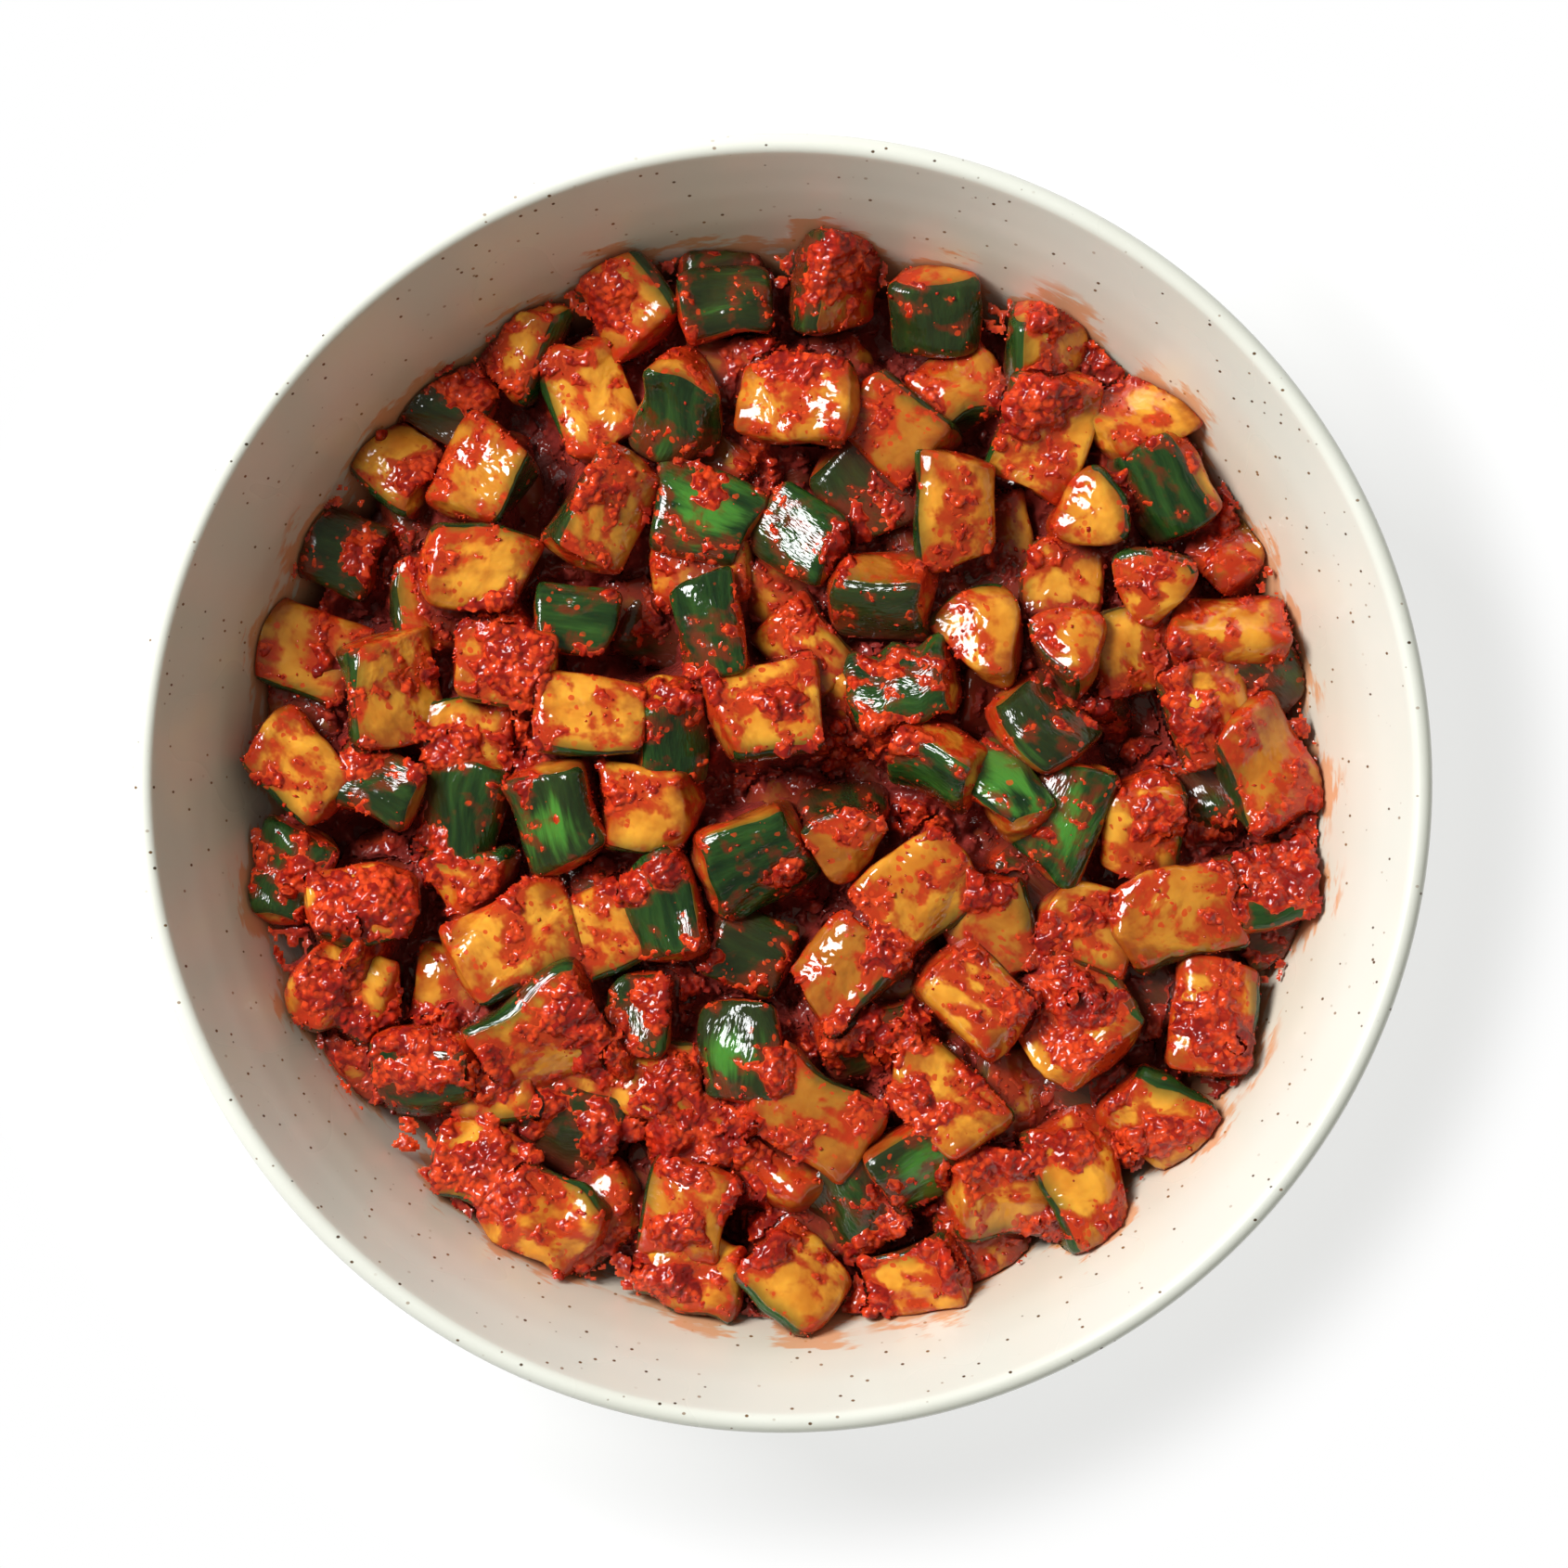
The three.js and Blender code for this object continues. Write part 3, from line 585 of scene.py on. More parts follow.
# %% [markdown]
# ## One chunk
# A cucumber is cut lengthwise into wedges and the wedges across into chunks. So a chunk is a section, which
# has a round skin side, two flat cut sides and a small trimmed core, carried along the cucumber's axis. Its
# own axes are X across, Y out to the skin and Z along. Knife edges on wet cucumber are never quite sharp:
# the outline is eased by averaging each point with its neighbours, and the two ends are drawn in over the
# last two millimetres. A Bevel modifier would do this too, but it would break up the even grid that carries
# the pattern of the skin.

# %% Section of a wedge
FINE = {"skin": 16, "cut": 13, "core": 4, "body": 9}
COARSE = {"skin": 9, "cut": 7, "core": 3, "body": 4}
EASE_WEIGHTS = np.array([1, 2, 3, 4, 3, 2, 1]) / 16
FULLNESS = 1.3


def wedge_outlines(half, inner, radius, grid):
    """Sections of many wedges: an arc of the skin, in along a cut side, over the core, and out again.

    The cut sides swell by a half sine, and the whole outline is eased by a weighted mean over its points.
    """
    half, radius, inner = half[:, None], radius[:, None], inner[:, None]
    inwards = np.linspace(0, 1, grid["cut"], endpoint=False)
    cut = np.ones(grid["cut"])
    arc = np.linspace(-1, 1, grid["skin"], endpoint=False)
    over = np.linspace(1, -1, grid["core"], endpoint=False)
    turn = half * np.concatenate([arc, cut, over, -cut])
    depth = np.concatenate([0 * arc, inwards, 1 + 0 * over, 1 - inwards])
    reach = radius - (radius - inner) * depth
    bulge = np.sin(math.pi * inwards)
    swell = FULLNESS * np.concatenate([0 * arc, bulge, 0 * over, -bulge])
    x = reach * np.sin(turn) + swell * np.cos(half)
    y = reach * np.cos(turn) - np.abs(swell) * np.sin(half)
    outline = np.stack([x, y], -1)
    shifts = range(-(len(EASE_WEIGHTS) // 2), len(EASE_WEIGHTS) // 2 + 1)
    return sum(weight * np.roll(outline, shift, 1) for weight, shift in zip(EASE_WEIGHTS, shifts))


print("fine sections have", FINE["skin"] + 2 * FINE["cut"] + FINE["core"], "points")

# %% Rows along a wedge
END_EASE = 1.9
END_DOME = 1.1
END_RINGS = (0.3, 0.62, 0.87)
ROUNDING = np.radians([0, 30, 60, 90])


def row_places(length, breadth, body_rows):
    """Place along the axis and share of the full section for each row of points.

    The rows run over a domed end, round its eased edge, along the body, and back the same way.
    """
    ring = np.array(END_RINGS)
    drawn_in = 1 - END_EASE * (1 - np.sin(ROUNDING)) / breadth[:, None]
    end_share = np.hstack([ring * drawn_in[:, :1], drawn_in])
    dome = END_DOME * np.hstack([1 - ring**2, np.zeros(len(ROUNDING))])
    back_off = np.hstack([np.zeros(len(ring)), END_EASE * (1 - np.cos(ROUNDING))]) - dome
    end_place = -length[:, None] / 2 + back_off
    body_end = length[:, None] / 2 - END_EASE
    body = body_end * np.linspace(-1, 1, body_rows + 2)[1:-1]
    place = np.hstack([end_place, body, -end_place[:, ::-1]])
    share = np.hstack([end_share, np.ones((len(length), body_rows)), end_share[:, ::-1]])
    return place, share


print("ends eased over", END_EASE, "mm")

# %% A wedge from its sections
def carried_along(outline, middle, place, share, length):
    """The outline at each place, drawn in to its middle by its share, and a point on top of each end."""
    flat = middle[:, None] + share[..., None, None] * (outline - middle)[:, None]
    along = np.broadcast_to(place[..., None, None], flat.shape[:-1] + (1,))
    rings = np.concatenate([flat, along], -1).reshape(len(length), -1, 3)
    tip = (length / 2 + END_DOME)[:, None]
    ends = np.stack([np.hstack([middle[:, 0], -tip]), np.hstack([middle[:, 0], tip])], 1)
    return np.concatenate([rings, ends], 1)


def skin_of_rings(rows, columns, skin_columns):
    """1 on the skin side of the body and 0 on cut sides and ends, ring by ring, then for the end points."""
    skin = np.zeros((rows, columns))
    skin[:, : skin_columns + 1] = 1
    end_rows = len(END_RINGS) + 1
    skin[:end_rows] = skin[-end_rows:] = 0
    return np.append(skin.ravel(), [0, 0])


def tube_triangles(rows, columns):
    """Triangles of a tube of rings, closed at each end by a fan to one more point."""
    first, last = rows * columns, rows * columns + 1
    ring = np.arange(columns)
    beside = np.roll(ring, -1)
    start = np.column_stack([np.full(columns, first), beside, ring])
    end = np.column_stack([np.full(columns, last), ring, beside]) + [0, first - columns, first - columns]
    return np.vstack([grid_triangles(rows, columns), start, end])


def outward(points, triangles):
    """The triangles, turned over if they enclose a negative volume."""
    a, b, c = (points[triangles[:, i]] for i in range(3))
    return triangles if np.einsum("ij,ij->i", a, np.cross(b, c)).sum() > 0 else triangles[:, ::-1]


fine_rows = 2 * (len(END_RINGS) + len(ROUNDING)) + FINE["body"]
print("a fine wedge is a tube of", fine_rows, "rings")

# %% [markdown]
# ## Uneven by hand
# No two chunks match. Each is cut a little askew, its sides belly out a little, and its surface wavers. A
# tilt, a cosine along the length and a few sines, with their own numbers in each chunk, do that on the whole
# array at once. Sculpting would do it too, but only one chunk at a time.

# %% Uneven cuts
ASKEW = 0.2
# Size and pitch of each sine; 1.7 is about the root of the three axes that a wave's direction is drawn on.
WARPS = ((0.95, 20.0), (0.24, 8.0), (0.06, 3.0))
ROOT_OF_AXES = 1.7


def cut_askew(points, middle, length, chance):
    """Moves points along by their offset from the middle times a random tilt, the more the nearer an end."""
    tilt = chance.uniform(-ASKEW, ASKEW, (len(length), 2, 1))
    offset = points[..., :2] - middle
    toward_end = points[..., 2] * 2 / length[:, None]
    points[..., 2] += toward_end * (offset[..., 0] * tilt[:, 0] + offset[..., 1] * tilt[:, 1])


def wavering(points, chance):
    """Points moved by sines of their own place, each chunk with its own directions and phases."""
    for size, pitch in WARPS:
        wave = chance.normal(0, 2 * math.pi / pitch / ROOT_OF_AXES, (len(points), 3, 3))
        phase = chance.uniform(0, 2 * math.pi, (len(points), 1, 3))
        points = points + size * np.sin(points @ wave + phase)
    return points


print("surface wavers by", [size for size, _ in WARPS], "mm")

# %% Many wedges at once
BELLY = 0.03
BELLY_SHARES = (0.3, 1.5)
OWN_UNIT = 10
OWN_SPAN = 90


def wedges(length, width, depth, grid, chance):
    """Points of many wedges in their own axes, and the fields that the finish reads.

    skin is 1 on the skin, under is the depth below it, own is the place on the cucumber in centimetres, and
    edge is 1 along the chunk's edges: the second largest of its three coordinates, each over its half size.
    """
    radius = np.maximum(CUCUMBER_RADIUS, depth + SEED_TRIM)
    inner = radius - depth
    half = np.arcsin(width / 2 / radius)
    outline = wedge_outlines(half, inner, radius, grid)
    middle = outline.mean(1, keepdims=True)
    place, share = row_places(length, np.minimum(width, depth) / 2, grid["body"])
    sag = chance.uniform(*BELLY_SHARES, (len(length), 1))
    belly = 1 + BELLY * np.cos(math.pi * place / length[:, None]) * sag
    points = carried_along(outline, middle, place, share * belly, length)
    under = (radius[:, None] - np.hypot(points[..., 0], points[..., 1])) / depth[:, None]
    cut_askew(points, middle, length, chance)
    halves = np.stack([width, depth, length], -1)[:, None] / 2
    reached = np.sort(np.abs(points - np.append(middle, 0 * middle[..., :1], -1)) / halves, -1)
    own = points / OWN_UNIT + chance.uniform(0, OWN_SPAN, (len(length), 1, 3))
    shape = place.shape[1], outline.shape[1]
    skin = np.broadcast_to(skin_of_rings(*shape, grid["skin"]), under.shape)
    fields = {"skin": skin, "under": under, "own": own, "edge": reached[..., 1]}
    return wavering(points, chance), fields, (half, inner, radius), tube_triangles(*shape)


print("sides belly out by up to", BELLY * max(BELLY_SHARES), "of the section")

# %% [markdown]
# ## Placing the chunks
# The middle of the face that shows is put at its listed place, then the chunk leans about it. A size that
# isn't listed is the usual one, and each size is uneven by a seeded rule, the same that the solid model
# follows. A chunk that would reach through the bowl is pressed flat against the wall, as soft food is. Each
# chunk also stands a little higher or lower than its neighbours and wobbles, except that one tipped to the
# light keeps its lean, and with it its gleam.

# %% Seeded draws
MULTIPLIER = 16807
MODULUS = 2147483647


def seeded_draws(seed):
    """Park and Miller's rule: the next state is the last times a number, less whole turns of a larger one."""
    state = seed
    while True:
        state = state * MULTIPLIER % MODULUS
        yield state / MODULUS


print("first draw:", round(next(seeded_draws(DRAW_SEED)), 4))

# %% Stance of a chunk
def heap_height(x, y):
    """Height of the upper chunks: a very low dome that sinks with the square of the distance out."""
    return HEAP_TOP - HEAP_SINK * (np.hypot(x, y) / RIM_RADIUS) ** 2


def stance(face, heading, length, half, inner, radius):
    """Ways of the skin and of the length, and the middle of the face turned up in the wedge's own axes."""
    up, ahead = np.array([0, 0, 1.0]), np.array([math.cos(heading), math.sin(heading), 0])
    middle = (radius + inner) / 2
    if face == "skin":
        return up, ahead, (0, radius, 0)
    if face == "core":
        return -up, ahead, (0, inner * math.cos(half), 0)
    if face == "end":
        return ahead, up, (0, middle, length / 2)
    skin_way = math.cos(half) * ahead - math.sin(half) * up
    return skin_way, np.cross(up, ahead), (math.sin(half) * middle, math.cos(half) * middle, 0)


def leaning(towards, lean):
    """Rotation that tips up towards a compass direction by an angle, by Rodrigues' formula."""
    k = np.array([-math.sin(towards), math.cos(towards), 0])
    cross = np.array([[0, -k[2], k[1]], [k[2], 0, -k[0]], [-k[1], k[0], 0]])
    return np.eye(3) + math.sin(lean) * cross + (1 - math.cos(lean)) * cross @ cross


print("upper chunks stand at", heap_height(0, 0), "mm in the middle")

# %% Into the heap
WOBBLE = 24.0
STIR = 1.6
WALL_GAP = CLEARANCE + 0.25
LIGHT_WAY = round(math.degrees(KEY_AZIMUTH))


def placed(rows, points, length, section):
    """Points of each wedge carried to its place in the heap and pressed inside the bowl."""
    half, inner, radius = section
    chance = np.random.default_rng(len(rows))
    wobble = np.radians(chance.uniform([0, 0], [360, WOBBLE], (len(rows), 2)))
    wobble[[row[4] == LIGHT_WAY for row in rows]] = 0
    stir = chance.uniform(-STIR, STIR, len(rows))
    out = np.empty_like(points)
    for i, (face, x, y, heading, towards, lean, level, *_) in enumerate(rows):
        skin_way, along, anchor = stance(face, math.radians(heading), length[i], half[i], inner[i], radius[i])
        turn = leaning(*wobble[i]) @ leaning(math.radians(towards), math.radians(lean))
        turn = turn @ np.column_stack([np.cross(skin_way, along), skin_way, along])
        out[i] = (points[i] - anchor) @ turn.T + (x, y, heap_height(x, y) - level * LEVEL_DROP + stir[i])
    out = out.reshape(-1, 3)
    limit = wall_radius(out[:, 2]) - WALL_GAP
    out[:, :2] *= np.minimum(1, limit / np.maximum(np.hypot(out[:, 0], out[:, 1]), 1))[:, None]
    return out


def chunk_sizes(rows, draws):
    """Length, width and depth of each chunk, each uneven by a seeded draw."""
    sizes = []
    for row in rows:
        named = [*row[7:], *USUAL_CHUNK[len(row) - 7 :]]
        sizes.append([size * (1 + SIZE_SPREAD * (2 * next(draws) - 1)) for size in named])
    return np.array(sizes).T


print("chunks tipped to the light:", sum(row[4] == LIGHT_WAY for row in CHUNKS))

# %% Build the chunks
EASE_ALLOWANCE = 1.06
BELOW_LEVEL = 0.9


def build_chunks(name, rows, sizes, grid, seed):
    """One mesh of many wedges, its points and its triangles; cut larger, because easing takes off edges."""
    chance = np.random.default_rng(seed)
    points, fields, section, pattern = wedges(*(sizes * EASE_ALLOWANCE), grid, chance)
    count = points.shape[1]
    fields["tone"] = np.repeat(chance.uniform(0, 1, len(rows)), count)
    world = placed(rows, points, sizes[0] * EASE_ALLOWANCE, section)
    pattern = outward(points[0], pattern)
    triangles = (pattern[None] + (np.arange(len(rows)) * count)[:, None, None]).reshape(-1, 3)
    flat = {field: values.reshape(len(world), -1).squeeze() for field, values in fields.items()}
    return make_piece(name, world, triangles, flat), world, triangles


sizes = chunk_sizes(CHUNKS, seeded_draws(DRAW_SEED))
faces = np.array([row[0] for row in CHUNKS])
below = np.array([row[6] for row in CHUNKS]) >= BELOW_LEVEL
groups = {
    "chunks_skin_up": (faces == "skin") & ~below,
    "chunks_cut_up": (faces != "skin") & ~below,
    "chunks_below": below,
}
heap = []
for seed, (name, wanted) in enumerate(groups.items()):
    rows = [row for row, taken in zip(CHUNKS, wanted) if taken]
    heap.append(build_chunks(name, rows, sizes[:, wanted], FINE, seed))
    print(name, len(rows))

# %% [markdown]
# ## Under the chunks
# Between the chunks the eye falls on more chunks, half sunk in paste and juice. They could be listed as the
# upper ones are, but so little of each shows that a seeded rule is enough: a triangular lattice, shaken.
# Below them lies the imported core, a lumpy body that follows the bowl, painted dark red as sauce in shade.

# %% Chunks of the lower layer
LATTICE = 19.0
LATTICE_STEPS = 7
LATTICE_SHAKE = 4.0
LOWER_LEVELS = (2.1, 2.9)
LOWER_LEAN = 35.0
LOWER_REACH = 97.0
LOWER_KINDS = {"skin": 0.2, "cut": 0.55, "end": 0.1, "core": 0.15}
LOWER_SEED = 7
LOWER_SIZE_SEED = 99


def lower_rows(chance):
    """Lattice points, every other row set over by half a step, each shaken and given a random stance."""
    across = np.arange(-LATTICE_STEPS, LATTICE_STEPS + 1)
    x = (across[None] + 0.5 * (across[:, None] % 2)) * LATTICE
    y = np.broadcast_to(across[:, None] * LATTICE * math.sqrt(3) / 2, x.shape)
    shake = chance.uniform(-LATTICE_SHAKE, LATTICE_SHAKE, (x.size, 2))
    spots = np.column_stack([x.ravel(), y.ravel()]) + shake
    spots = spots[np.hypot(*spots.T) < LOWER_REACH]
    kinds = chance.choice(list(LOWER_KINDS), len(spots), p=list(LOWER_KINDS.values()))
    low, high = [0, 0, 0, LOWER_LEVELS[0]], [360, 360, LOWER_LEAN, LOWER_LEVELS[1]]
    numbers = chance.uniform(low, high, (len(spots), 4))
    return [(kind, *spot, *rest) for kind, spot, rest in zip(kinds, spots, numbers)]


rows = lower_rows(np.random.default_rng(LOWER_SEED))
sizes = chunk_sizes(rows, seeded_draws(LOWER_SIZE_SEED))
heap.append(build_chunks("chunks_lower_layer", rows, sizes, COARSE, LOWER_SEED))
print(len(rows), "chunks in the lower layer")

# %% Packed core
CORE_COLUMNS = 160
CORE_RINGS = 50
CORE_TOP = 36.0
CORE_POLE = 0.5
CORE_EDGE = 0.985
LUMP_HEIGHT = 2.2
LUMP_WAVES = ((3.1, 1.5, 4.3), (2.7, 1.2, 5.1))
SWELL_HEIGHT = 1.2
SWELL_PITCHES = (9, 8)


def bent_sine(a, b, pitch, bend, bend_pitch):
    """Sine of one coordinate, pushed to and fro by a sine of the other."""
    return np.sin(a / pitch + bend * np.sin(b / bend_pitch))


def build_core():
    """The bowl's inside up to a set height, turned about the axis; sines in x and y make the top lumpy."""
    side = wall_line(WALL_GAP)
    side = side[side[:, 1] < CORE_TOP]
    across = np.linspace(CORE_EDGE, POLE, CORE_RINGS)[:, None] * [side[-1, 0], 0] + [0, CORE_TOP]
    line = np.vstack([[[CORE_POLE, side[0, 1]]], side, across])
    points = turn_profile(line, CORE_COLUMNS)
    x, y = points[:, 0], points[:, 1]
    lumps = bent_sine(x, y, *LUMP_WAVES[0]) * bent_sine(y, x, *LUMP_WAVES[1])
    swells = np.sin(x / SWELL_PITCHES[0]) * np.cos(y / SWELL_PITCHES[1])
    uneven = LUMP_HEIGHT * lumps + SWELL_HEIGHT * swells
    points[:, 2] += np.where(points[:, 2] > CORE_TOP - 0.1, uneven, 0)
    first, last = points[:CORE_COLUMNS].mean(0), points[-CORE_COLUMNS:].mean(0)
    points = np.vstack([points, first, last])
    return make_piece("packed_core", points, outward(points, tube_triangles(len(line), CORE_COLUMNS)))


core = build_core()
print("packed core reaches up to about", CORE_TOP, "mm")

# %% [markdown]
# ## Where the paste goes
# Chilli paste gathers in three places: in clumps left by the spoon, in the creases between chunks, and in
# thin smears wherever one wet chunk has rubbed on another. One field over the heap adds these up. The red
# film on the chunks, the single grains and the thick clumps all read that same field, so they agree. To know
# how high the heap is at any x and y, a fine level net is dropped onto it once.

# %% A level net
CELL = 0.4
CELLS = 592
# The height given to the net where it meets no food.
OUTSIDE_Z = HEAP_TOP - 8
ticks = (np.arange(CELLS) - (CELLS - 1) / 2) * CELL
net = np.stack(np.meshgrid(ticks, ticks, indexing="ij"), -1)


def cell_of(spots):
    """Row and column of the net's point nearest to each x and y."""
    index = np.clip(np.rint(spots / CELL + (CELLS - 1) / 2).astype(int), 0, CELLS - 1)
    return index[:, 0], index[:, 1]


def read_mesh(piece):
    """Points in millimetres and triangles of a piece."""
    points = np.empty(len(piece.data.vertices) * 3, np.float32)
    piece.data.vertices.foreach_get("co", points)
    corners = np.empty(len(piece.data.loops), np.int32)
    piece.data.loops.foreach_get("vertex_index", corners)
    return points.reshape(-1, 3) / MM, corners.reshape(-1, 3)


print("net of", CELLS, "by", CELLS, "points,", CELL, "mm apart")

# %% Drop the net
CHUNK_BLUR = 3.8


def drop_net(pieces):
    """Height of the pieces under each point of the net; a Shrinkwrap modifier projects it down onto them."""
    meshes = [read_mesh(piece) for piece in pieces]
    starts = np.cumsum([0] + [len(points) for points, _ in meshes])
    triangles = np.vstack([own + start for (_, own), start in zip(meshes, starts)])
    target = make_piece("target", np.vstack([points for points, _ in meshes]), triangles)
    high = np.full((CELLS, CELLS, 1), float(BOWL_HEIGHT))
    sheet = make_piece("net", np.concatenate([net, high], -1).reshape(-1, 3), np.empty((0, 3), int))
    drop = sheet.modifiers.new("drop", "SHRINKWRAP")
    drop.target, drop.wrap_method = target, "PROJECT"
    drop.use_project_z, drop.use_negative_direction = True, True
    drop.use_positive_direction = False
    bpy.context.view_layer.update()
    landed = np.empty(CELLS * CELLS * 3, np.float32)
    dropped = sheet.evaluated_get(bpy.context.evaluated_depsgraph_get())
    dropped.data.vertices.foreach_get("co", landed)
    for mesh in (sheet.data, target.data):
        bpy.data.meshes.remove(mesh)
    heights = landed.reshape(CELLS, CELLS, 3)[..., 2].astype(float) / MM
    return np.where(heights > BOWL_HEIGHT - 1, OUTSIDE_Z, heights)


def blurred(values, reach):
    """Gaussian blur of a map: each wave of frequency f in it fades to exp(-2 (pi f reach)^2)."""
    wave = np.fft.fftfreq(CELLS, CELL)
    fade = np.exp(-2 * (math.pi * reach) ** 2 * (wave[:, None] ** 2 + wave[None] ** 2))
    return np.fft.ifft2(np.fft.fft2(values) * fade).real


top = drop_net([piece for piece, _, _ in heap] + [core])
around = blurred(top, CHUNK_BLUR)
print("heap is highest at", round(float(top.max()), 1), "mm")

# %% Clouds and clumps
SINES = 16
SPREAD_OF_PITCH = (0.7, 1.4)
CLUMP_SPILL = 1.0
CLUMP_REACH = 1.6


def cloud(points, pitch, seed):
    """Soft noise about 0, spread 1: sines in random directions, wavelengths near the pitch, added up."""
    chance = np.random.default_rng(seed)
    ways = chance.normal(size=(3, SINES))
    ways *= 2 * math.pi / pitch / chance.uniform(*SPREAD_OF_PITCH, SINES) / np.linalg.norm(ways, axis=0)
    return np.sin(points @ ways + chance.uniform(0, 2 * math.pi, SINES)).sum(1) / math.sqrt(SINES / 2)


def clump_closeness(points):
    """1 in the middle of a clump's ellipse, falling to 0 at 1.6 times its half length and half width."""
    near = np.zeros(len(points))
    for x, y, length, width, heading in CLUMPS:
        turn = math.radians(heading)
        dx, dy = points[:, 0] - x, points[:, 1] - y
        along = (dx * math.cos(turn) + dy * math.sin(turn)) / (length / 2 + CLUMP_SPILL)
        across = (dy * math.cos(turn) - dx * math.sin(turn)) / (width / 2 + CLUMP_SPILL)
        near = np.maximum(near, np.clip(CLUMP_REACH - np.hypot(along, across), 0, 1))
    return near


print("a cloud adds up", SINES, "sines")

# %% Paste field
CREASE_DEPTH = 5.0
CREASE_LIMITS = (-0.4, 1)
SIDE_START = 0.6
SIDE_LIMITS = (0, 0.8)
PASTE_SHARES = {"clump": 0.55, "crease": 0.3, "side": 0.2, "edge": 0.32, "skin": -0.14, "all": 0.36}
# Share, pitch and seed of each cloud.
PASTE_CLOUDS = ((0.24, 13, 1), (0.19, 4.5, 2))


def paste_field(points, normals, skin, edge):
    """Clumps, creases, sides, clouds and edges added up, less on skin, which is too smooth to hold much."""
    share = PASTE_SHARES
    crease = np.clip((around[cell_of(points[:, :2])] - points[:, 2]) / CREASE_DEPTH, *CREASE_LIMITS)
    side = np.clip(SIDE_START - normals[:, 2], *SIDE_LIMITS)
    clouds = sum(size * cloud(points, pitch, seed) for size, pitch, seed in PASTE_CLOUDS)
    rubbed = share["edge"] * np.clip(edge, 0, 1) ** 3 + share["skin"] * skin
    gathered = share["clump"] * clump_closeness(points) + share["crease"] * crease + share["side"] * side
    return gathered + clouds + rubbed + share["all"]


print("paste field adds up", ", ".join(PASTE_SHARES))

# %% [markdown]
# The materials can't see the heap, so what they need of it is written on the meshes as numbers for each
# point. The chunks get film, which is the paste field, and deep, the depth under the heap's blurred surface.
# The bowl gets near_food, from a map of where the net met food.

# %% Fields for the materials
# Depth over which juice and painted shade darken the chunks and the paste.
JUICE_AND_SHADE_DEPTH = 5.0
JUICE_AND_SHADE_START = 0.7
FOOD_BLUR = 2.6
PASTED = 0.6


def mesh_normals(piece):
    """Unit normals of a mesh's points."""
    normals = np.empty(len(piece.data.vertices) * 3, np.float32)
    piece.data.vertex_normals.foreach_get("vector", normals)
    return normals.reshape(-1, 3)


def add_field(piece, name, values):
    """One more number per point."""
    piece.data.attributes.new(name, "FLOAT", "POINT").data.foreach_set("value", values.astype(np.float32))


def read_field(piece, name, count):
    """The numbers of a field."""
    values = np.empty(count, np.float32)
    piece.data.attributes[name].data.foreach_get("value", values)
    return values


def depth_below(points):
    """0 at the heap's blurred surface, 1 a few millimetres below it: juice and painted shade darken it all.
    """
    return np.clip((around[cell_of(points[:, :2])] - points[:, 2] + JUICE_AND_SHADE_START) / JUICE_AND_SHADE_DEPTH, 0, 1)


def nearness_to_food(points):
    """1 under the food, 0 well away: a map of where the net met food, blurred, and 0 outside the net."""
    met = (top != OUTSIDE_Z).astype(float)
    return blurred(met, FOOD_BLUR)[cell_of(points[:, :2])] * (np.abs(points[:, :2]).max(1) < ticks[-1])


add_field(bowl, "near_food", nearness_to_food(read_mesh(bowl)[0]))
for piece, world, _ in heap:
    skin, edge = (read_field(piece, name, len(world)) for name in ("skin", "edge"))
    film = paste_field(world, mesh_normals(piece), skin, edge)
    add_field(piece, "film", film)
    add_field(piece, "deep", depth_below(world))
    print(piece.name, "is pasted over", round(float((film > PASTED).mean()), 2), "of its surface")

# %% [markdown]
# ## Cucumber finish
# Skin and flesh share one material, so that the thin green line where they meet can run along the edge. The
# skin is dark green with soft, lighter lengthwise streaks, and bright where it has been scuffed. The flesh
# has taken up chilli oil: it is orange, and red-brown on sides that turn away from straight up, which is
# juice and also painted shade; its edges are stained red and painted darker as the shade of their rounding.
# Deep in the heap, juice and painted shade darken everything. Light enters the flesh a few millimetres,
# which subsurface scattering gives. Everything is wet: the gloss is high, and soft waves in it break the
# light of the lamp into patches. Each colour is laid over the last in layers, as a painter would glaze. The
# lower layer has a copy of the material without scattering, which would cost time and not show.

# %% Scuffed skins
# x, y and reach of each.
SCUFFED = ((-12, -57, 6), (32, -82, 8), (-49, -9, 6), (-17, 57, 8), (46, 2, 8), (59, -8, 8), (-67, -24, 5))

for piece, world, _ in heap:
    scuff = np.zeros(len(world))
    for x, y, reach in SCUFFED:
        scuff = np.maximum(scuff, np.exp(-((world[:, 0] - x) ** 2 + (world[:, 1] - y) ** 2) / reach**2))
    add_field(piece, "scuff", scuff)
print(len(SCUFFED), "scuffed skins")

# %% Layers of colour
# Each row has what it follows, from where to where, its most, and its colour. On the flesh come amber clouds,
# brown in some chunks, green under the skin, red-brown on sides (juice and painted shade), oil, red edges
# (stain and painted shade of their rounding), and blots of paste.
FLESH_GOLD = colour(0.90, 0.42, 0.042)
FLESH_LAYERS = (
    ("broad", 0.3, 0.7, 1.0, colour(0.66, 0.22, 0.017)),
    ("tone", 0.4, 1.0, 0.7, colour(0.34, 0.088, 0.010)),
    ("under", 0.26, 0.01, 0.9, colour(0.10, 0.095, 0.010)),
    # Juice and painted shade: darker red-brown on sides that turn away from straight up.
    ("upward", 0.75, 0.1, 0.85, colour(0.30, 0.026, 0.007)),
    ("film", 0.2, 0.75, 0.68, colour(0.60, 0.088, 0.008)),
    # Red stain and painted shade of the rounding, along the chunk's edges.
    ("edge_stain_and_shade", 0.65, 1.15, 0.85, colour(0.32, 0.044, 0.006)),
    ("blots", 0.53, 0.84, 0.87, colour(0.50, 0.026, 0.006)),
)
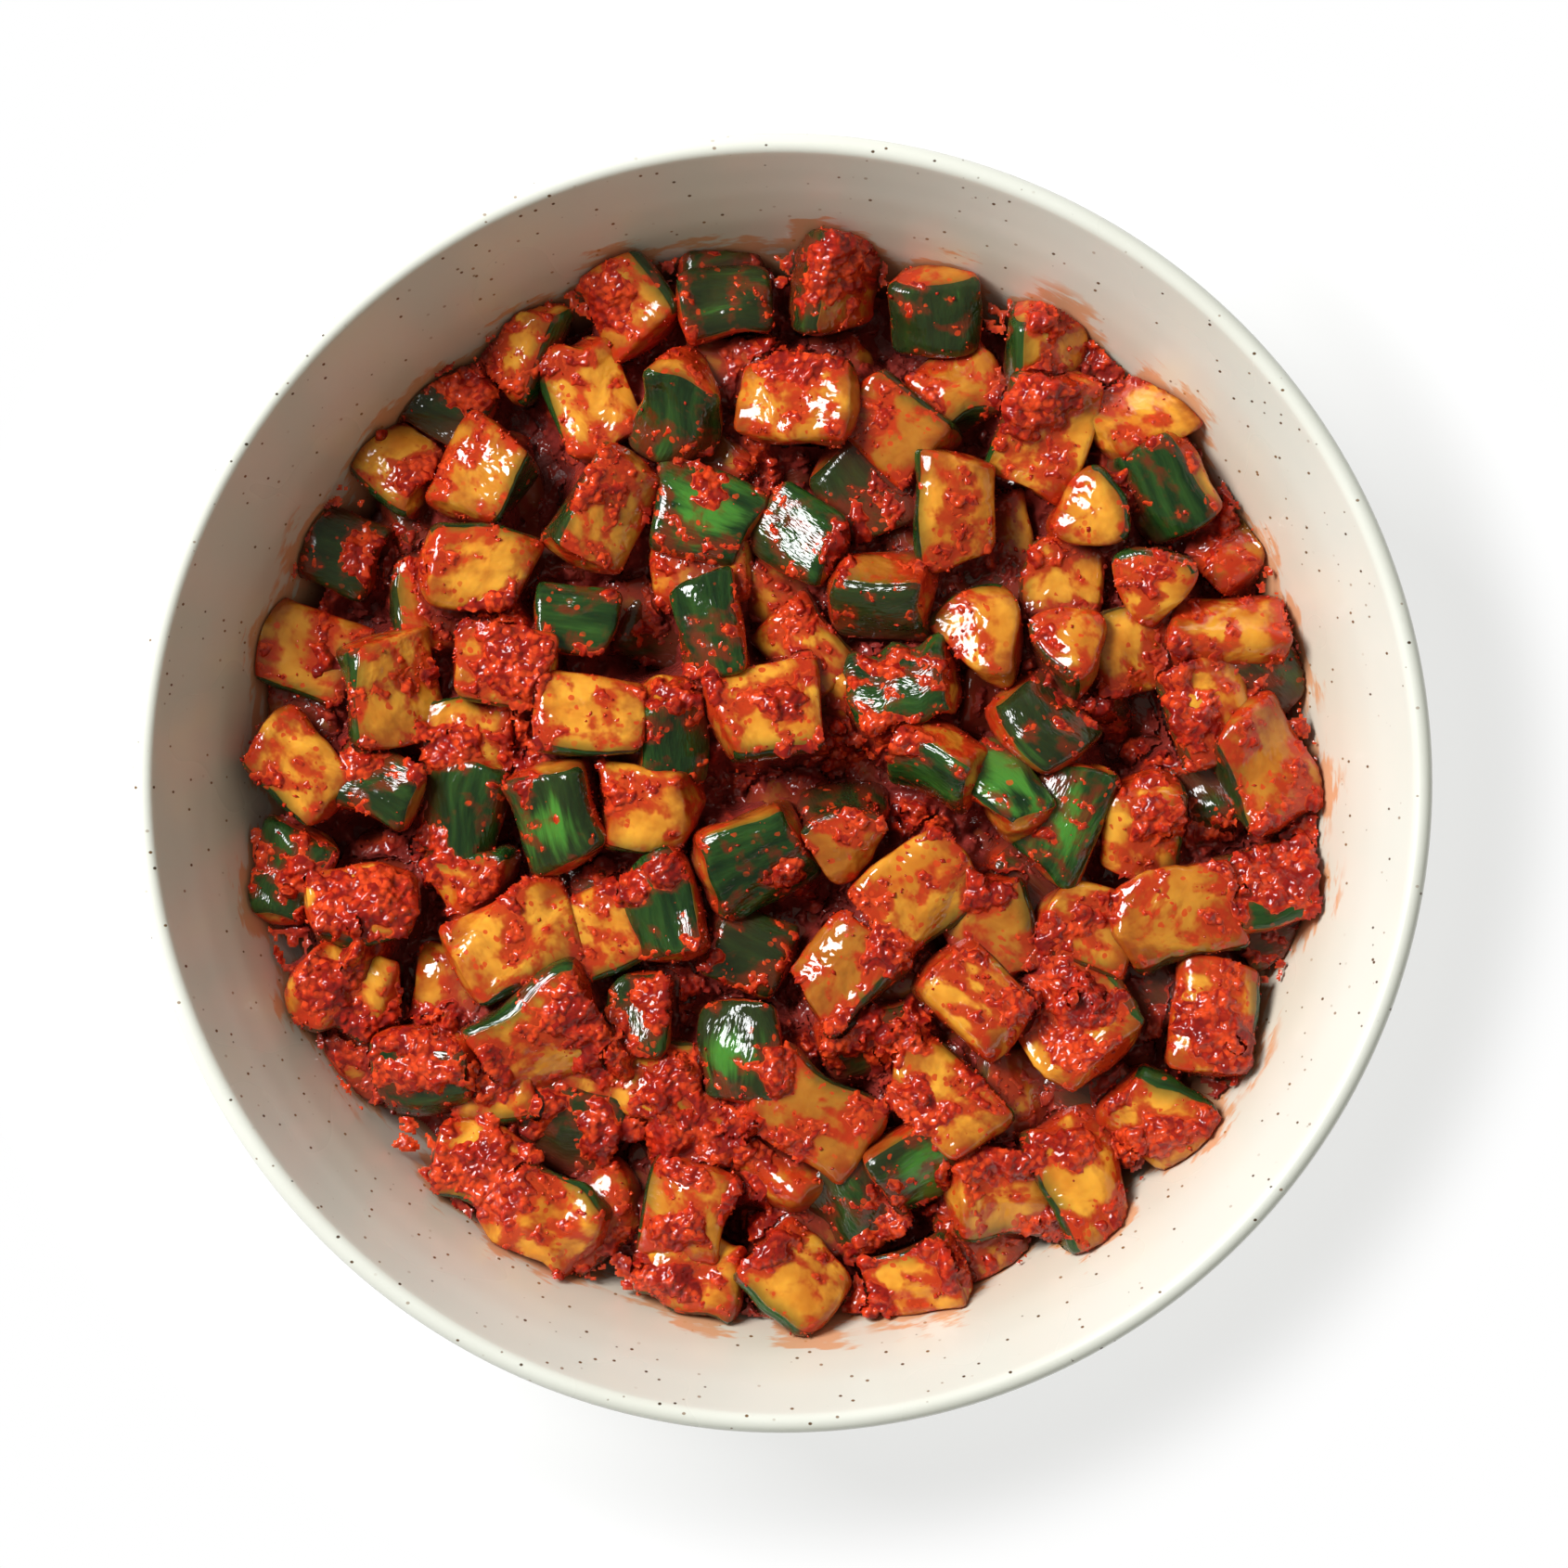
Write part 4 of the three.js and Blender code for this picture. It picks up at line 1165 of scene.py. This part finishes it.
# On the skin: lighter streaks, olive in some chunks, bright scuffs, and blots of paste.
SKIN_DARK = colour(0.006, 0.024, 0.006)
SKIN_LAYERS = (
    ("streaks", 0.3, 0.75, 1.0, colour(0.030, 0.090, 0.014)),
    ("tone", 0.25, 0.95, 0.72, colour(0.027, 0.030, 0.009)),
    ("bright", 0.62, 1.0, 1.0, colour(0.07, 0.25, 0.03)),
    ("blots", 0.55, 0.86, 0.85, colour(0.17, 0.024, 0.007)),
)
# On a single grain: its own red. On everything: dark juice and painted shade, by the depth in the heap.
GRAIN_BRIGHT = colour(0.66, 0.060, 0.010)
GRAIN_LAYERS = (("draw", 0.0, 0.5, 1.0, colour(0.40, 0.018, 0.005)),)
# Juice and painted shade: darker the deeper a point lies in the heap.
JUICE_AND_SHADE_LAYERS = (("deep", 0.0, 1.0, 0.85, colour(0.17, 0.026, 0.016)),)
print("colours on the flesh:", len(FLESH_LAYERS) + 1, "and on the skin:", len(SKIN_LAYERS) + 1)

# %% What the layers follow
# Lumps per centimetre, detail and roughness of each noise.
BROAD_NOISE = (1.3, 3, 0.55)
RAGGED_NOISE = (3.6, 2, 0.62)
STREAK_NOISE = (1.3, 3, 0.62)
WAVE_NOISE = (3.4, 1.5, 0.5)
RIB_NOISE = (14, 1, 0.6)
STREAK_STRETCH = (2.6, 2.6, 0.4)
RIB_STRETCH = (1.0, 1.0, 0.35)
GRAINS_PER_CENTIMETRE = 8


def cucumber_fields(finish, own):
    """Fields of the mesh and noise on the cucumber's own coordinates, alone and added up."""
    fields = {name: finish.field(name) for name in ("tone", "film", "skin", "under", "edge", "scuff", "deep")}
    fields["upward"] = finish.upward()
    fields["broad"] = finish.noise(own, *BROAD_NOISE)
    ragged = finish.noise(own, *RAGGED_NOISE)
    streaks = fields["streaks"] = finish.noise(finish.stretch(own, STREAK_STRETCH), *STREAK_NOISE)
    # Edges: red stain and painted shade of their rounding.
    fields["edge_stain_and_shade"] = finish.sum(fields["edge"], finish.times(ragged, 0.5))
    fields["blots"] = finish.sum(finish.times(fields["film"], 0.75), finish.times(ragged, 0.8))
    fields["bright"] = finish.sum(finish.times(fields["scuff"], 0.5), streaks)
    return fields


def printed_grains(finish, fields, own):
    """Fine grains as colour: 1 near a scattered point whose own number is under the share set by the film."""
    far, draw = finish.cells(own, GRAINS_PER_CENTIMETRE)
    clinging = finish.step(fields["skin"], 0.3, 0.7, 1, 0.2)
    share = finish.times(finish.step(fields["film"], 0.1, 0.85, 0.05, 0.8), clinging)
    there = finish.step(finish.less(share, draw), -0.02, 0.02)
    grain = finish.times(there, finish.step(finish.sum(far, finish.times(draw, 0.9)), 0.62, 0.5))
    return grain, finish.layers(GRAIN_BRIGHT, {"draw": draw}, GRAIN_LAYERS)


def wet_relief(finish, fields, own):
    """Height of the wet surface: soft waves, stronger on flesh, and fine lengthwise ribs on the skin."""
    waves = finish.times(finish.noise(own, *WAVE_NOISE), finish.step(fields["skin"], 0.3, 0.7, 1.3, 0.6))
    ribs = finish.noise(finish.stretch(own, RIB_STRETCH), *RIB_NOISE)
    return finish.sum(waves, finish.times(ribs, finish.times(fields["skin"], 0.4)))


print("printed grains:", GRAINS_PER_CENTIMETRE, "in a centimetre")

# %% Cucumber material
RELIEF_DEPTH = 0.0006
GLOW = 0.35
GLOW_COLOUR = (1.0, 0.3, 0.08)
GLOW_REACH = 0.003


def make_cucumber(name, glow):
    """Flesh and skin mixed by the skin field, then printed grains, then juice and painted shade by depth."""
    finish = Finish(name)
    own = finish.field("own", 1)
    fields = cucumber_fields(finish, own)
    flesh = finish.layers(FLESH_GOLD, fields, FLESH_LAYERS)
    green = finish.layers(SKIN_DARK, fields, SKIN_LAYERS)
    body = finish.mix(finish.step(fields["skin"], 0.42, 0.62), flesh, green)
    grain, red = printed_grains(finish, fields, own)
    stained = finish.layers(finish.mix(finish.times(grain, 0.88), body, red), fields, JUICE_AND_SHADE_LAYERS)
    relief = wet_relief(finish, fields, own)
    finish.set(Base_Color=stained, IOR=1.5, Roughness=finish.step(fields["broad"], 0.4, 0.6, 0.13, 0.06))
    finish.set(Normal=finish.bump(relief, RELIEF_DEPTH, 0.75))
    finish.set(Subsurface_Weight=glow, Subsurface_Radius=GLOW_COLOUR, Subsurface_Scale=GLOW_REACH)
    return finish.material


lit, buried = make_cucumber("stained_cucumber", GLOW), make_cucumber("buried_cucumber", 0.0)
for piece, _, _ in heap:
    stand_for(piece, "cucumber_kimchi", buried if piece.name == "chunks_lower_layer" else lit)

# %% [markdown]
# ## Loose grains
# The paste is coarse chilli, minced garlic and juice: wet grains of about a millimetre that hang together.
# Loose grains lie on every chunk, set on the chunks' own triangles. There are so many that each one is just
# an octahedron, its corners jogged, which smooth shading turns into a wet bead.

# %% A loose grain
OCTAHEDRON = np.array([[1, 0, 0], [-1, 0, 0], [0, 1, 0], [0, -1, 0], [0, 0, 1], [0, 0, -1]], float)
OCTANTS = np.array([[0, 2, 4], [2, 1, 4], [1, 3, 4], [3, 0, 4], [2, 0, 5], [1, 2, 5], [3, 1, 5], [0, 3, 5]])
CORNER_JOG = (0.7, 1.3)
FLATTEST = 0.4


def random_turns(chance, count):
    """Rotation matrices from random unit quaternions."""
    quaternions = chance.normal(size=(4, count))
    w, x, y, z = quaternions / np.linalg.norm(quaternions, axis=0)
    rows = [
        [1 - 2 * (y * y + z * z), 2 * (x * y - w * z), 2 * (x * z + w * y)],
        [2 * (x * y + w * z), 1 - 2 * (x * x + z * z), 2 * (y * z - w * x)],
        [2 * (x * z - w * y), 2 * (y * z + w * x), 1 - 2 * (x * x + y * y)],
    ]
    return np.stack(rows).transpose(2, 0, 1)


def grain_bodies(centres, sizes, chance):
    """An octahedron at each centre, scaled, its corners jogged in and out, squashed and turned."""
    jogged = OCTAHEDRON * chance.uniform(*CORNER_JOG, (len(centres), len(OCTAHEDRON), 1))
    jogged = jogged * chance.uniform(FLATTEST, 1, (len(centres), 1, 3)) * sizes[:, None, None]
    points = np.einsum("nij,npj->npi", random_turns(chance, len(centres)), jogged) + centres[:, None]
    triangles = OCTANTS[None] + (np.arange(len(centres)) * len(OCTAHEDRON))[:, None, None]
    return points.reshape(-1, 3), triangles.reshape(-1, 3)


def inside_bowl(centres, margin):
    """Centres pulled in so that they stay that far from the wall."""
    limit = wall_radius(centres[:, 2]) - margin
    centres[:, :2] *= np.minimum(1, limit / np.hypot(centres[:, 0], centres[:, 1]))[:, None]
    return centres


print("a grain has", len(OCTANTS), "faces")

# %% Where grains land
SEEN_DEPTH = 5.0
LONE_SHARE = 0.012
PATCH_SIZE, PATCH_PITCH, PATCH_SEED = 0.12, 2.2, 3
GATHER_LEVEL, GATHER_MOST = 0.45, 0.35
FACING = 0.25


def facets(points, triangles):
    """Middle, unit normal and area of each triangle."""
    a, b, c = (points[triangles[:, i]] for i in range(3))
    across = np.cross(b - a, c - a)
    size = np.linalg.norm(across, axis=1)
    return (a + b + c) / 3, across / size[:, None], size / 2


def landing_places():
    """Middle, normal and weight of every triangle of the chunks.

    The weight is the area times how well it is seen from above times the paste field over a level, which
    gathers grains in patches and leaves a few lone ones.
    """
    middles, normals, areas, fields = [], [], [], []
    for piece, world, triangles in heap:
        middle, normal, area = facets(world, triangles)
        skin, edge = (read_field(piece, name, len(world))[triangles].mean(1) for name in ("skin", "edge"))
        middles.append(middle)
        normals.append(normal)
        areas.append(area)
        fields.append(paste_field(middle, normal, skin, edge))
    middle, normal, area, field = map(np.concatenate, (middles, normals, areas, fields))
    field = field + PATCH_SIZE * cloud(middle, PATCH_PITCH, PATCH_SEED)
    near_top = middle[:, 2] > top[cell_of(middle[:, :2])] - SEEN_DEPTH
    seen = near_top * np.clip(FACING + normal[:, 2], 0, 1)
    return middle, normal, area * seen * (LONE_SHARE + np.clip(field - GATHER_LEVEL, 0, GATHER_MOST))


middle, normal, weight = landing_places()
print("grains may land on", int((weight > 0).sum()), "triangles")

# %% Grains on the chunks
GRAINS = 8000
SMALLEST_GRAIN, LARGEST_GRAIN = 0.22, 0.85
GRAIN_SEED = 77
GRAIN_SHIFT = 0.35
PROUD = 0.2
GRAIN_MARGIN = 1.0


def scatter_grains(middle, normal, weight, chance):
    """Triangles drawn by weight, and on each a grain, shifted a little along it and set a little proud."""
    chosen = chance.choice(len(middle), GRAINS, p=weight / weight.sum())
    shift = chance.normal(0, GRAIN_SHIFT, (GRAINS, 3))
    shift -= normal[chosen] * np.einsum("ij,ij->i", shift, normal[chosen])[:, None]
    radius = SMALLEST_GRAIN + (LARGEST_GRAIN - SMALLEST_GRAIN) * chance.uniform(0, 1, GRAINS) ** 2
    centres = middle[chosen] + shift + normal[chosen] * (PROUD * radius)[:, None]
    return grain_bodies(inside_bowl(centres, GRAIN_MARGIN), radius, chance)


chance = np.random.default_rng(GRAIN_SEED)
grains = make_piece("chilli_grains", *scatter_grains(middle, normal, weight, chance))
for name in ("relief", "thick"):
    add_field(grains, name, np.ones(len(grains.data.vertices)))
print(GRAINS, "loose grains")

# %% [markdown]
# ## Paste
# The paste itself is two sheets laid over the heap like a net with a mesh of under half a millimetre. One
# fills the gaps up to a level that rises and falls. The other lies on the chunks, and is as thick as the
# paste field says, so it is a film here and a clump there. Both carry one relief of stamped grains. Where a
# sheet would be under the surface it is left out, so its grains come through one by one at its edges.

# %% Relief of grains
# Count, smallest and largest radius, and height over radius.
COARSE_GRAINS = (60000, 0.34, 1.35, 0.8)
FINE_GRAINS = (130000, 0.26, 0.6, 0.7)
GRAIN_ROUNDNESS, GRAIN_WAVE = 0.8, 0.16
RELIEF_BLUR = 0.2
RELIEF_SEED = 31


def granule_relief(count, low, high, height, chance):
    """Each grain stamps a cap on the net, and where caps meet, the highest stands.

    A cap rises by height times sqrt(r^2 - d^2) at a distance d from its centre, where r waves with direction.
    """
    relief = np.zeros((CELLS, CELLS))
    reach = int(high / CELL) + 1
    centre = chance.uniform(ticks[reach + 1], ticks[-reach - 2], (count, 2))
    radius = low + (high - low) * chance.uniform(0, 1, count) ** 3
    heading = chance.uniform(0, 2 * math.pi, count)
    row, column = cell_of(centre)
    for i in range(-reach, reach + 1):
        for j in range(-reach, reach + 1):
            dx, dy = ticks[row + i] - centre[:, 0], ticks[column + j] - centre[:, 1]
            turn = np.arctan2(dy, dx) + heading
            waves = GRAIN_WAVE * np.sin(2 * turn) + GRAIN_WAVE * np.sin(3 * turn + heading)
            edge = radius * (GRAIN_ROUNDNESS + waves)
            bulge = height * np.sqrt(np.maximum(edge**2 - dx**2 - dy**2, 0))
            np.maximum.at(relief, (row + i, column + j), bulge)
    return relief


chance = np.random.default_rng(RELIEF_SEED)
relief = granule_relief(*COARSE_GRAINS, chance) + granule_relief(*FINE_GRAINS, chance)
relief = blurred(relief, RELIEF_BLUR)
print("grains rise", round(float(relief.mean()), 2), "mm on average")

# %% Sheets
WALL_MARGIN = 0.9


def net_sheet(name, points, kept):
    """The kept cells of the net, less those near the wall, two triangles each, with the points they use."""
    inside = np.hypot(points[..., 0], points[..., 1]) < wall_radius(points[..., 2]) - WALL_MARGIN
    kept = kept & inside[:-1, :-1] & inside[1:, 1:]
    used = np.zeros((CELLS, CELLS), bool)
    for i, j in ((0, 0), (0, 1), (1, 0), (1, 1)):
        used[i : CELLS - 1 + i, j : CELLS - 1 + j] |= kept
    number = np.cumsum(used).reshape(used.shape) - 1
    a, b = number[:-1, :-1][kept], number[1:, :-1][kept]
    c, d = number[:-1, 1:][kept], number[1:, 1:][kept]
    piece = make_piece(name, points[used], np.stack([a, b, d, a, d, c], -1).reshape(-1, 3))
    add_field(piece, "relief", relief[used])
    add_field(piece, "deep", depth_below(points[used]))
    return piece, used


def any_corner(proud):
    """Cells of the net with a corner that stands proud."""
    return proud[:-1, :-1] | proud[1:, :-1] | proud[:-1, 1:] | proud[1:, 1:]


print("sheets stop", WALL_MARGIN, "mm from the wall")

# %% Paste in the gaps
GAP_DEPTH = 7.3
CLUMP_FILL = 0.55
# Height, pitch and seed of each swell.
SWELLS = ((2.4, 18, 5), (0.9, 5, 6))
flat_net = np.column_stack([net.reshape(-1, 2), np.zeros(CELLS**2)])
close = clump_closeness(flat_net).reshape(top.shape)
swells = sum(height * cloud(flat_net, pitch, seed) for height, pitch, seed in SWELLS).reshape(top.shape)
gap_z = around - GAP_DEPTH * (1 - CLUMP_FILL * close) + swells + relief
filling, used = net_sheet("paste_in_gaps", np.dstack([net, gap_z]), any_corner(gap_z > top))
add_field(filling, "thick", np.ones(used.sum()))
print("gap paste has", len(filling.data.polygons), "triangles")

# %% Maps for the top sheet
ON_TOP = 0.8
FIELD_BLUR = 0.9
SLOPE_BLUR = 0.45
LEAST_COUNT = 0.01


def seen_from_above(name):
    """A field of the chunks as a map of the net: the mean over nearby points of theirs that lie on top."""
    total, count = np.zeros_like(top), np.zeros_like(top)
    for piece, world, _ in heap:
        on_top = world[:, 2] > top[cell_of(world[:, :2])] - ON_TOP
        cells = cell_of(world[on_top, :2])
        np.add.at(total, cells, read_field(piece, name, len(world))[on_top])
        np.add.at(count, cells, 1)
    return blurred(total, FIELD_BLUR) / np.maximum(blurred(count, FIELD_BLUR), LEAST_COUNT)


def directions(heights):
    """Unit normals of a height map, from its slopes."""
    slope_x, slope_y = np.gradient(blurred(heights, SLOPE_BLUR), CELL)
    normals = np.dstack([-slope_x, -slope_y, np.ones_like(top)])
    return normals / np.linalg.norm(normals, axis=-1, keepdims=True)


def drop_across(heights):
    """Largest difference in height between the corners of each cell of the net."""
    corners = np.stack([heights[i : CELLS - 1 + i, j : CELLS - 1 + j] for i in (0, 1) for j in (0, 1)])
    return corners.max(0) - corners.min(0)


surface = np.dstack([net, np.maximum(top, gap_z)])
normals = directions(surface[..., 2])
skin, edge = (seen_from_above(name).ravel() for name in ("skin", "edge"))
field = paste_field(surface.reshape(-1, 3), normals.reshape(-1, 3), skin, edge).reshape(top.shape)
print("paste field from above: mean", round(float(field.mean()), 2))

# %% Paste on the chunks
PATCH_LEVEL = 0.61
RISE = 1.8
THICKEST = 0.9
GRAIN_SINK = 0.5
PILE = 1.2
PILE_POWER = 1.5
STEEPEST = 2.2
thin = np.clip(RISE * (field - PATCH_LEVEL), -1, THICKEST) + relief - GRAIN_SINK
pile = PILE * close**PILE_POWER
points = surface + normals * thin[..., None]
points[..., 2] += pile
gentle = drop_across(surface[..., 2]) < STEEPEST * CELL
coat, used = net_sheet("paste_on_chunks", points, any_corner(thin + pile > 0) & gentle)
add_field(coat, "thick", (thin + pile)[used])
print("top paste has", len(coat.data.polygons), "triangles")

# %% [markdown]
# One material serves both sheets and the loose grains. It is painted deep red as shade between the grains
# and in the seams between flakes, and bright on top of them, and scattered points give single flakes their
# own red. It turns more orange where it is thin, and dull and dark deep down, as juice and painted shade.
# The core has a plainer, dark finish, dark as painted shade, because so little of it shows.

# %% Paste material
CLOUDS_PER_METRE = 110
FLAKES_PER_METRE = 760
FLAKE_DEPTH = 0.0003
# Painted shade between the grains, under the lighter crests.
PASTE_HOLLOW_SHADE = colour(0.21, 0.009, 0.008)
# Crests of the relief over the painted shade of the hollows, orange flakes, dark flakes, painted shade in
# the seams between flakes, thin edges, and juice with painted shade.
PASTE_LAYERS = (
    ("relief", 0.1, 0.8, 1.0, colour(0.60, 0.030, 0.008)),
    ("orange", 0.58, 0.85, 1.0, colour(0.78, 0.068, 0.014)),
    ("flake", 0.4, 0.1, 0.6, colour(0.34, 0.010, 0.005)),
    # Painted shade in the seams between flakes.
    ("seam", 0.35, 0.8, 0.5, colour(0.20, 0.007, 0.004)),
    ("thick", 0.3, 0.0, 0.6, colour(0.78, 0.085, 0.015)),
    # Juice and painted shade, darker deep in the heap.
    ("deep", 0.0, 1.0, 0.9, colour(0.22, 0.030, 0.024)),
)


def make_paste():
    """Layers of red, with painted shade between the grains and in the seams between flakes.

    The bump is highest in the middle of each flake, where the distance to it is least.
    """
    finish = Finish("chilli_paste")
    place = finish.place()
    clouds = finish.noise(place, CLOUDS_PER_METRE, 2)
    fields = {name: finish.field(name) for name in ("relief", "thick", "deep")}
    fields["seam"], fields["flake"] = finish.cells(place, FLAKES_PER_METRE)
    fields["orange"] = finish.sum(clouds, finish.times(fields["flake"], 0.3))
    finish.set(Base_Color=finish.layers(PASTE_HOLLOW_SHADE, fields, PASTE_LAYERS), IOR=1.42)
    finish.set(Roughness=finish.step(clouds, 0.3, 0.7, 0.11, 0.05))
    finish.set(Normal=finish.bump(finish.step(fields["seam"], 0.8, 0.0), FLAKE_DEPTH, 0.4))
    return finish.material


red_paste = make_paste()
for piece in (coat, filling, grains):
    stand_for(piece, "cucumber_kimchi", red_paste)

# %% Core material
# Sauce darkened as painted shade at the bottom of the gaps.
SAUCE_AND_SHADE_DARK, SAUCE_AND_SHADE_RED = colour(0.11, 0.020, 0.016), colour(0.22, 0.028, 0.022)


def make_core():
    """Wet sauce, painted dark red as shade: what the eye meets at the bottom of the gaps."""
    finish = Finish("sauce_and_shade_in_gaps")
    place = finish.place()
    red = finish.mix(finish.noise(place, 120, 3), SAUCE_AND_SHADE_DARK, SAUCE_AND_SHADE_RED)
    finish.set(Base_Color=red, Roughness=finish.noise(place, 60, 2))
    finish.set(Normal=finish.bump(finish.noise(place, 900, 2), RELIEF_DEPTH, 0.8))
    return finish.material


stand_for(core, "cucumber_kimchi", make_core())

# %% [markdown]
# ## Floor
# A plain white floor that takes only a light, short shadow. It glows softly, as a lit table does from below,
# so the shade on it is faint, and the glow takes over altogether a few centimetres from the bowl. It isn't
# part of the object.

# %% Floor
FLOOR_HALF = 2400.0
FLOOR_DROP = 0.05
FLOOR_PAINT = colour(0.335, 0.335, 0.335)
NEAR_GLOW, FAR_GLOW = 0.68, 1.0
SHADE_INNER = 0.148
SHADE_OUTER = 0.19


def make_floor():
    """One large square under the foot; its glow rises away from the bowl as its white paint gives way."""
    corners = FLOOR_HALF * np.array([[-1, -1, 0], [1, -1, 0], [-1, 1, 0], [1, 1, 0]])
    floor = make_piece("floor", corners - [0, 0, FLOOR_DROP], np.array([[0, 1, 3], [0, 3, 2]]))
    finish = Finish("pale_floor")
    distance = finish.add("VectorMath", {0: finish.place()}, "Value", operation="LENGTH")
    away = finish.step(distance, SHADE_INNER, SHADE_OUTER)
    finish.set(Base_Color=finish.mix(away, FLOOR_PAINT, colour(0, 0, 0)), Specular_IOR_Level=0.0)
    glow = finish.step(away, 0, 1, NEAR_GLOW, FAR_GLOW)
    finish.set(Emission_Color=colour(1, 1, 1), Emission_Strength=glow)
    floor.data.materials.append(finish.material)


make_floor()
print("floor", 2 * FLOOR_HALF * MM, "m wide")

# %% [markdown]
# The finished pieces have to fill the same box as the imported model.
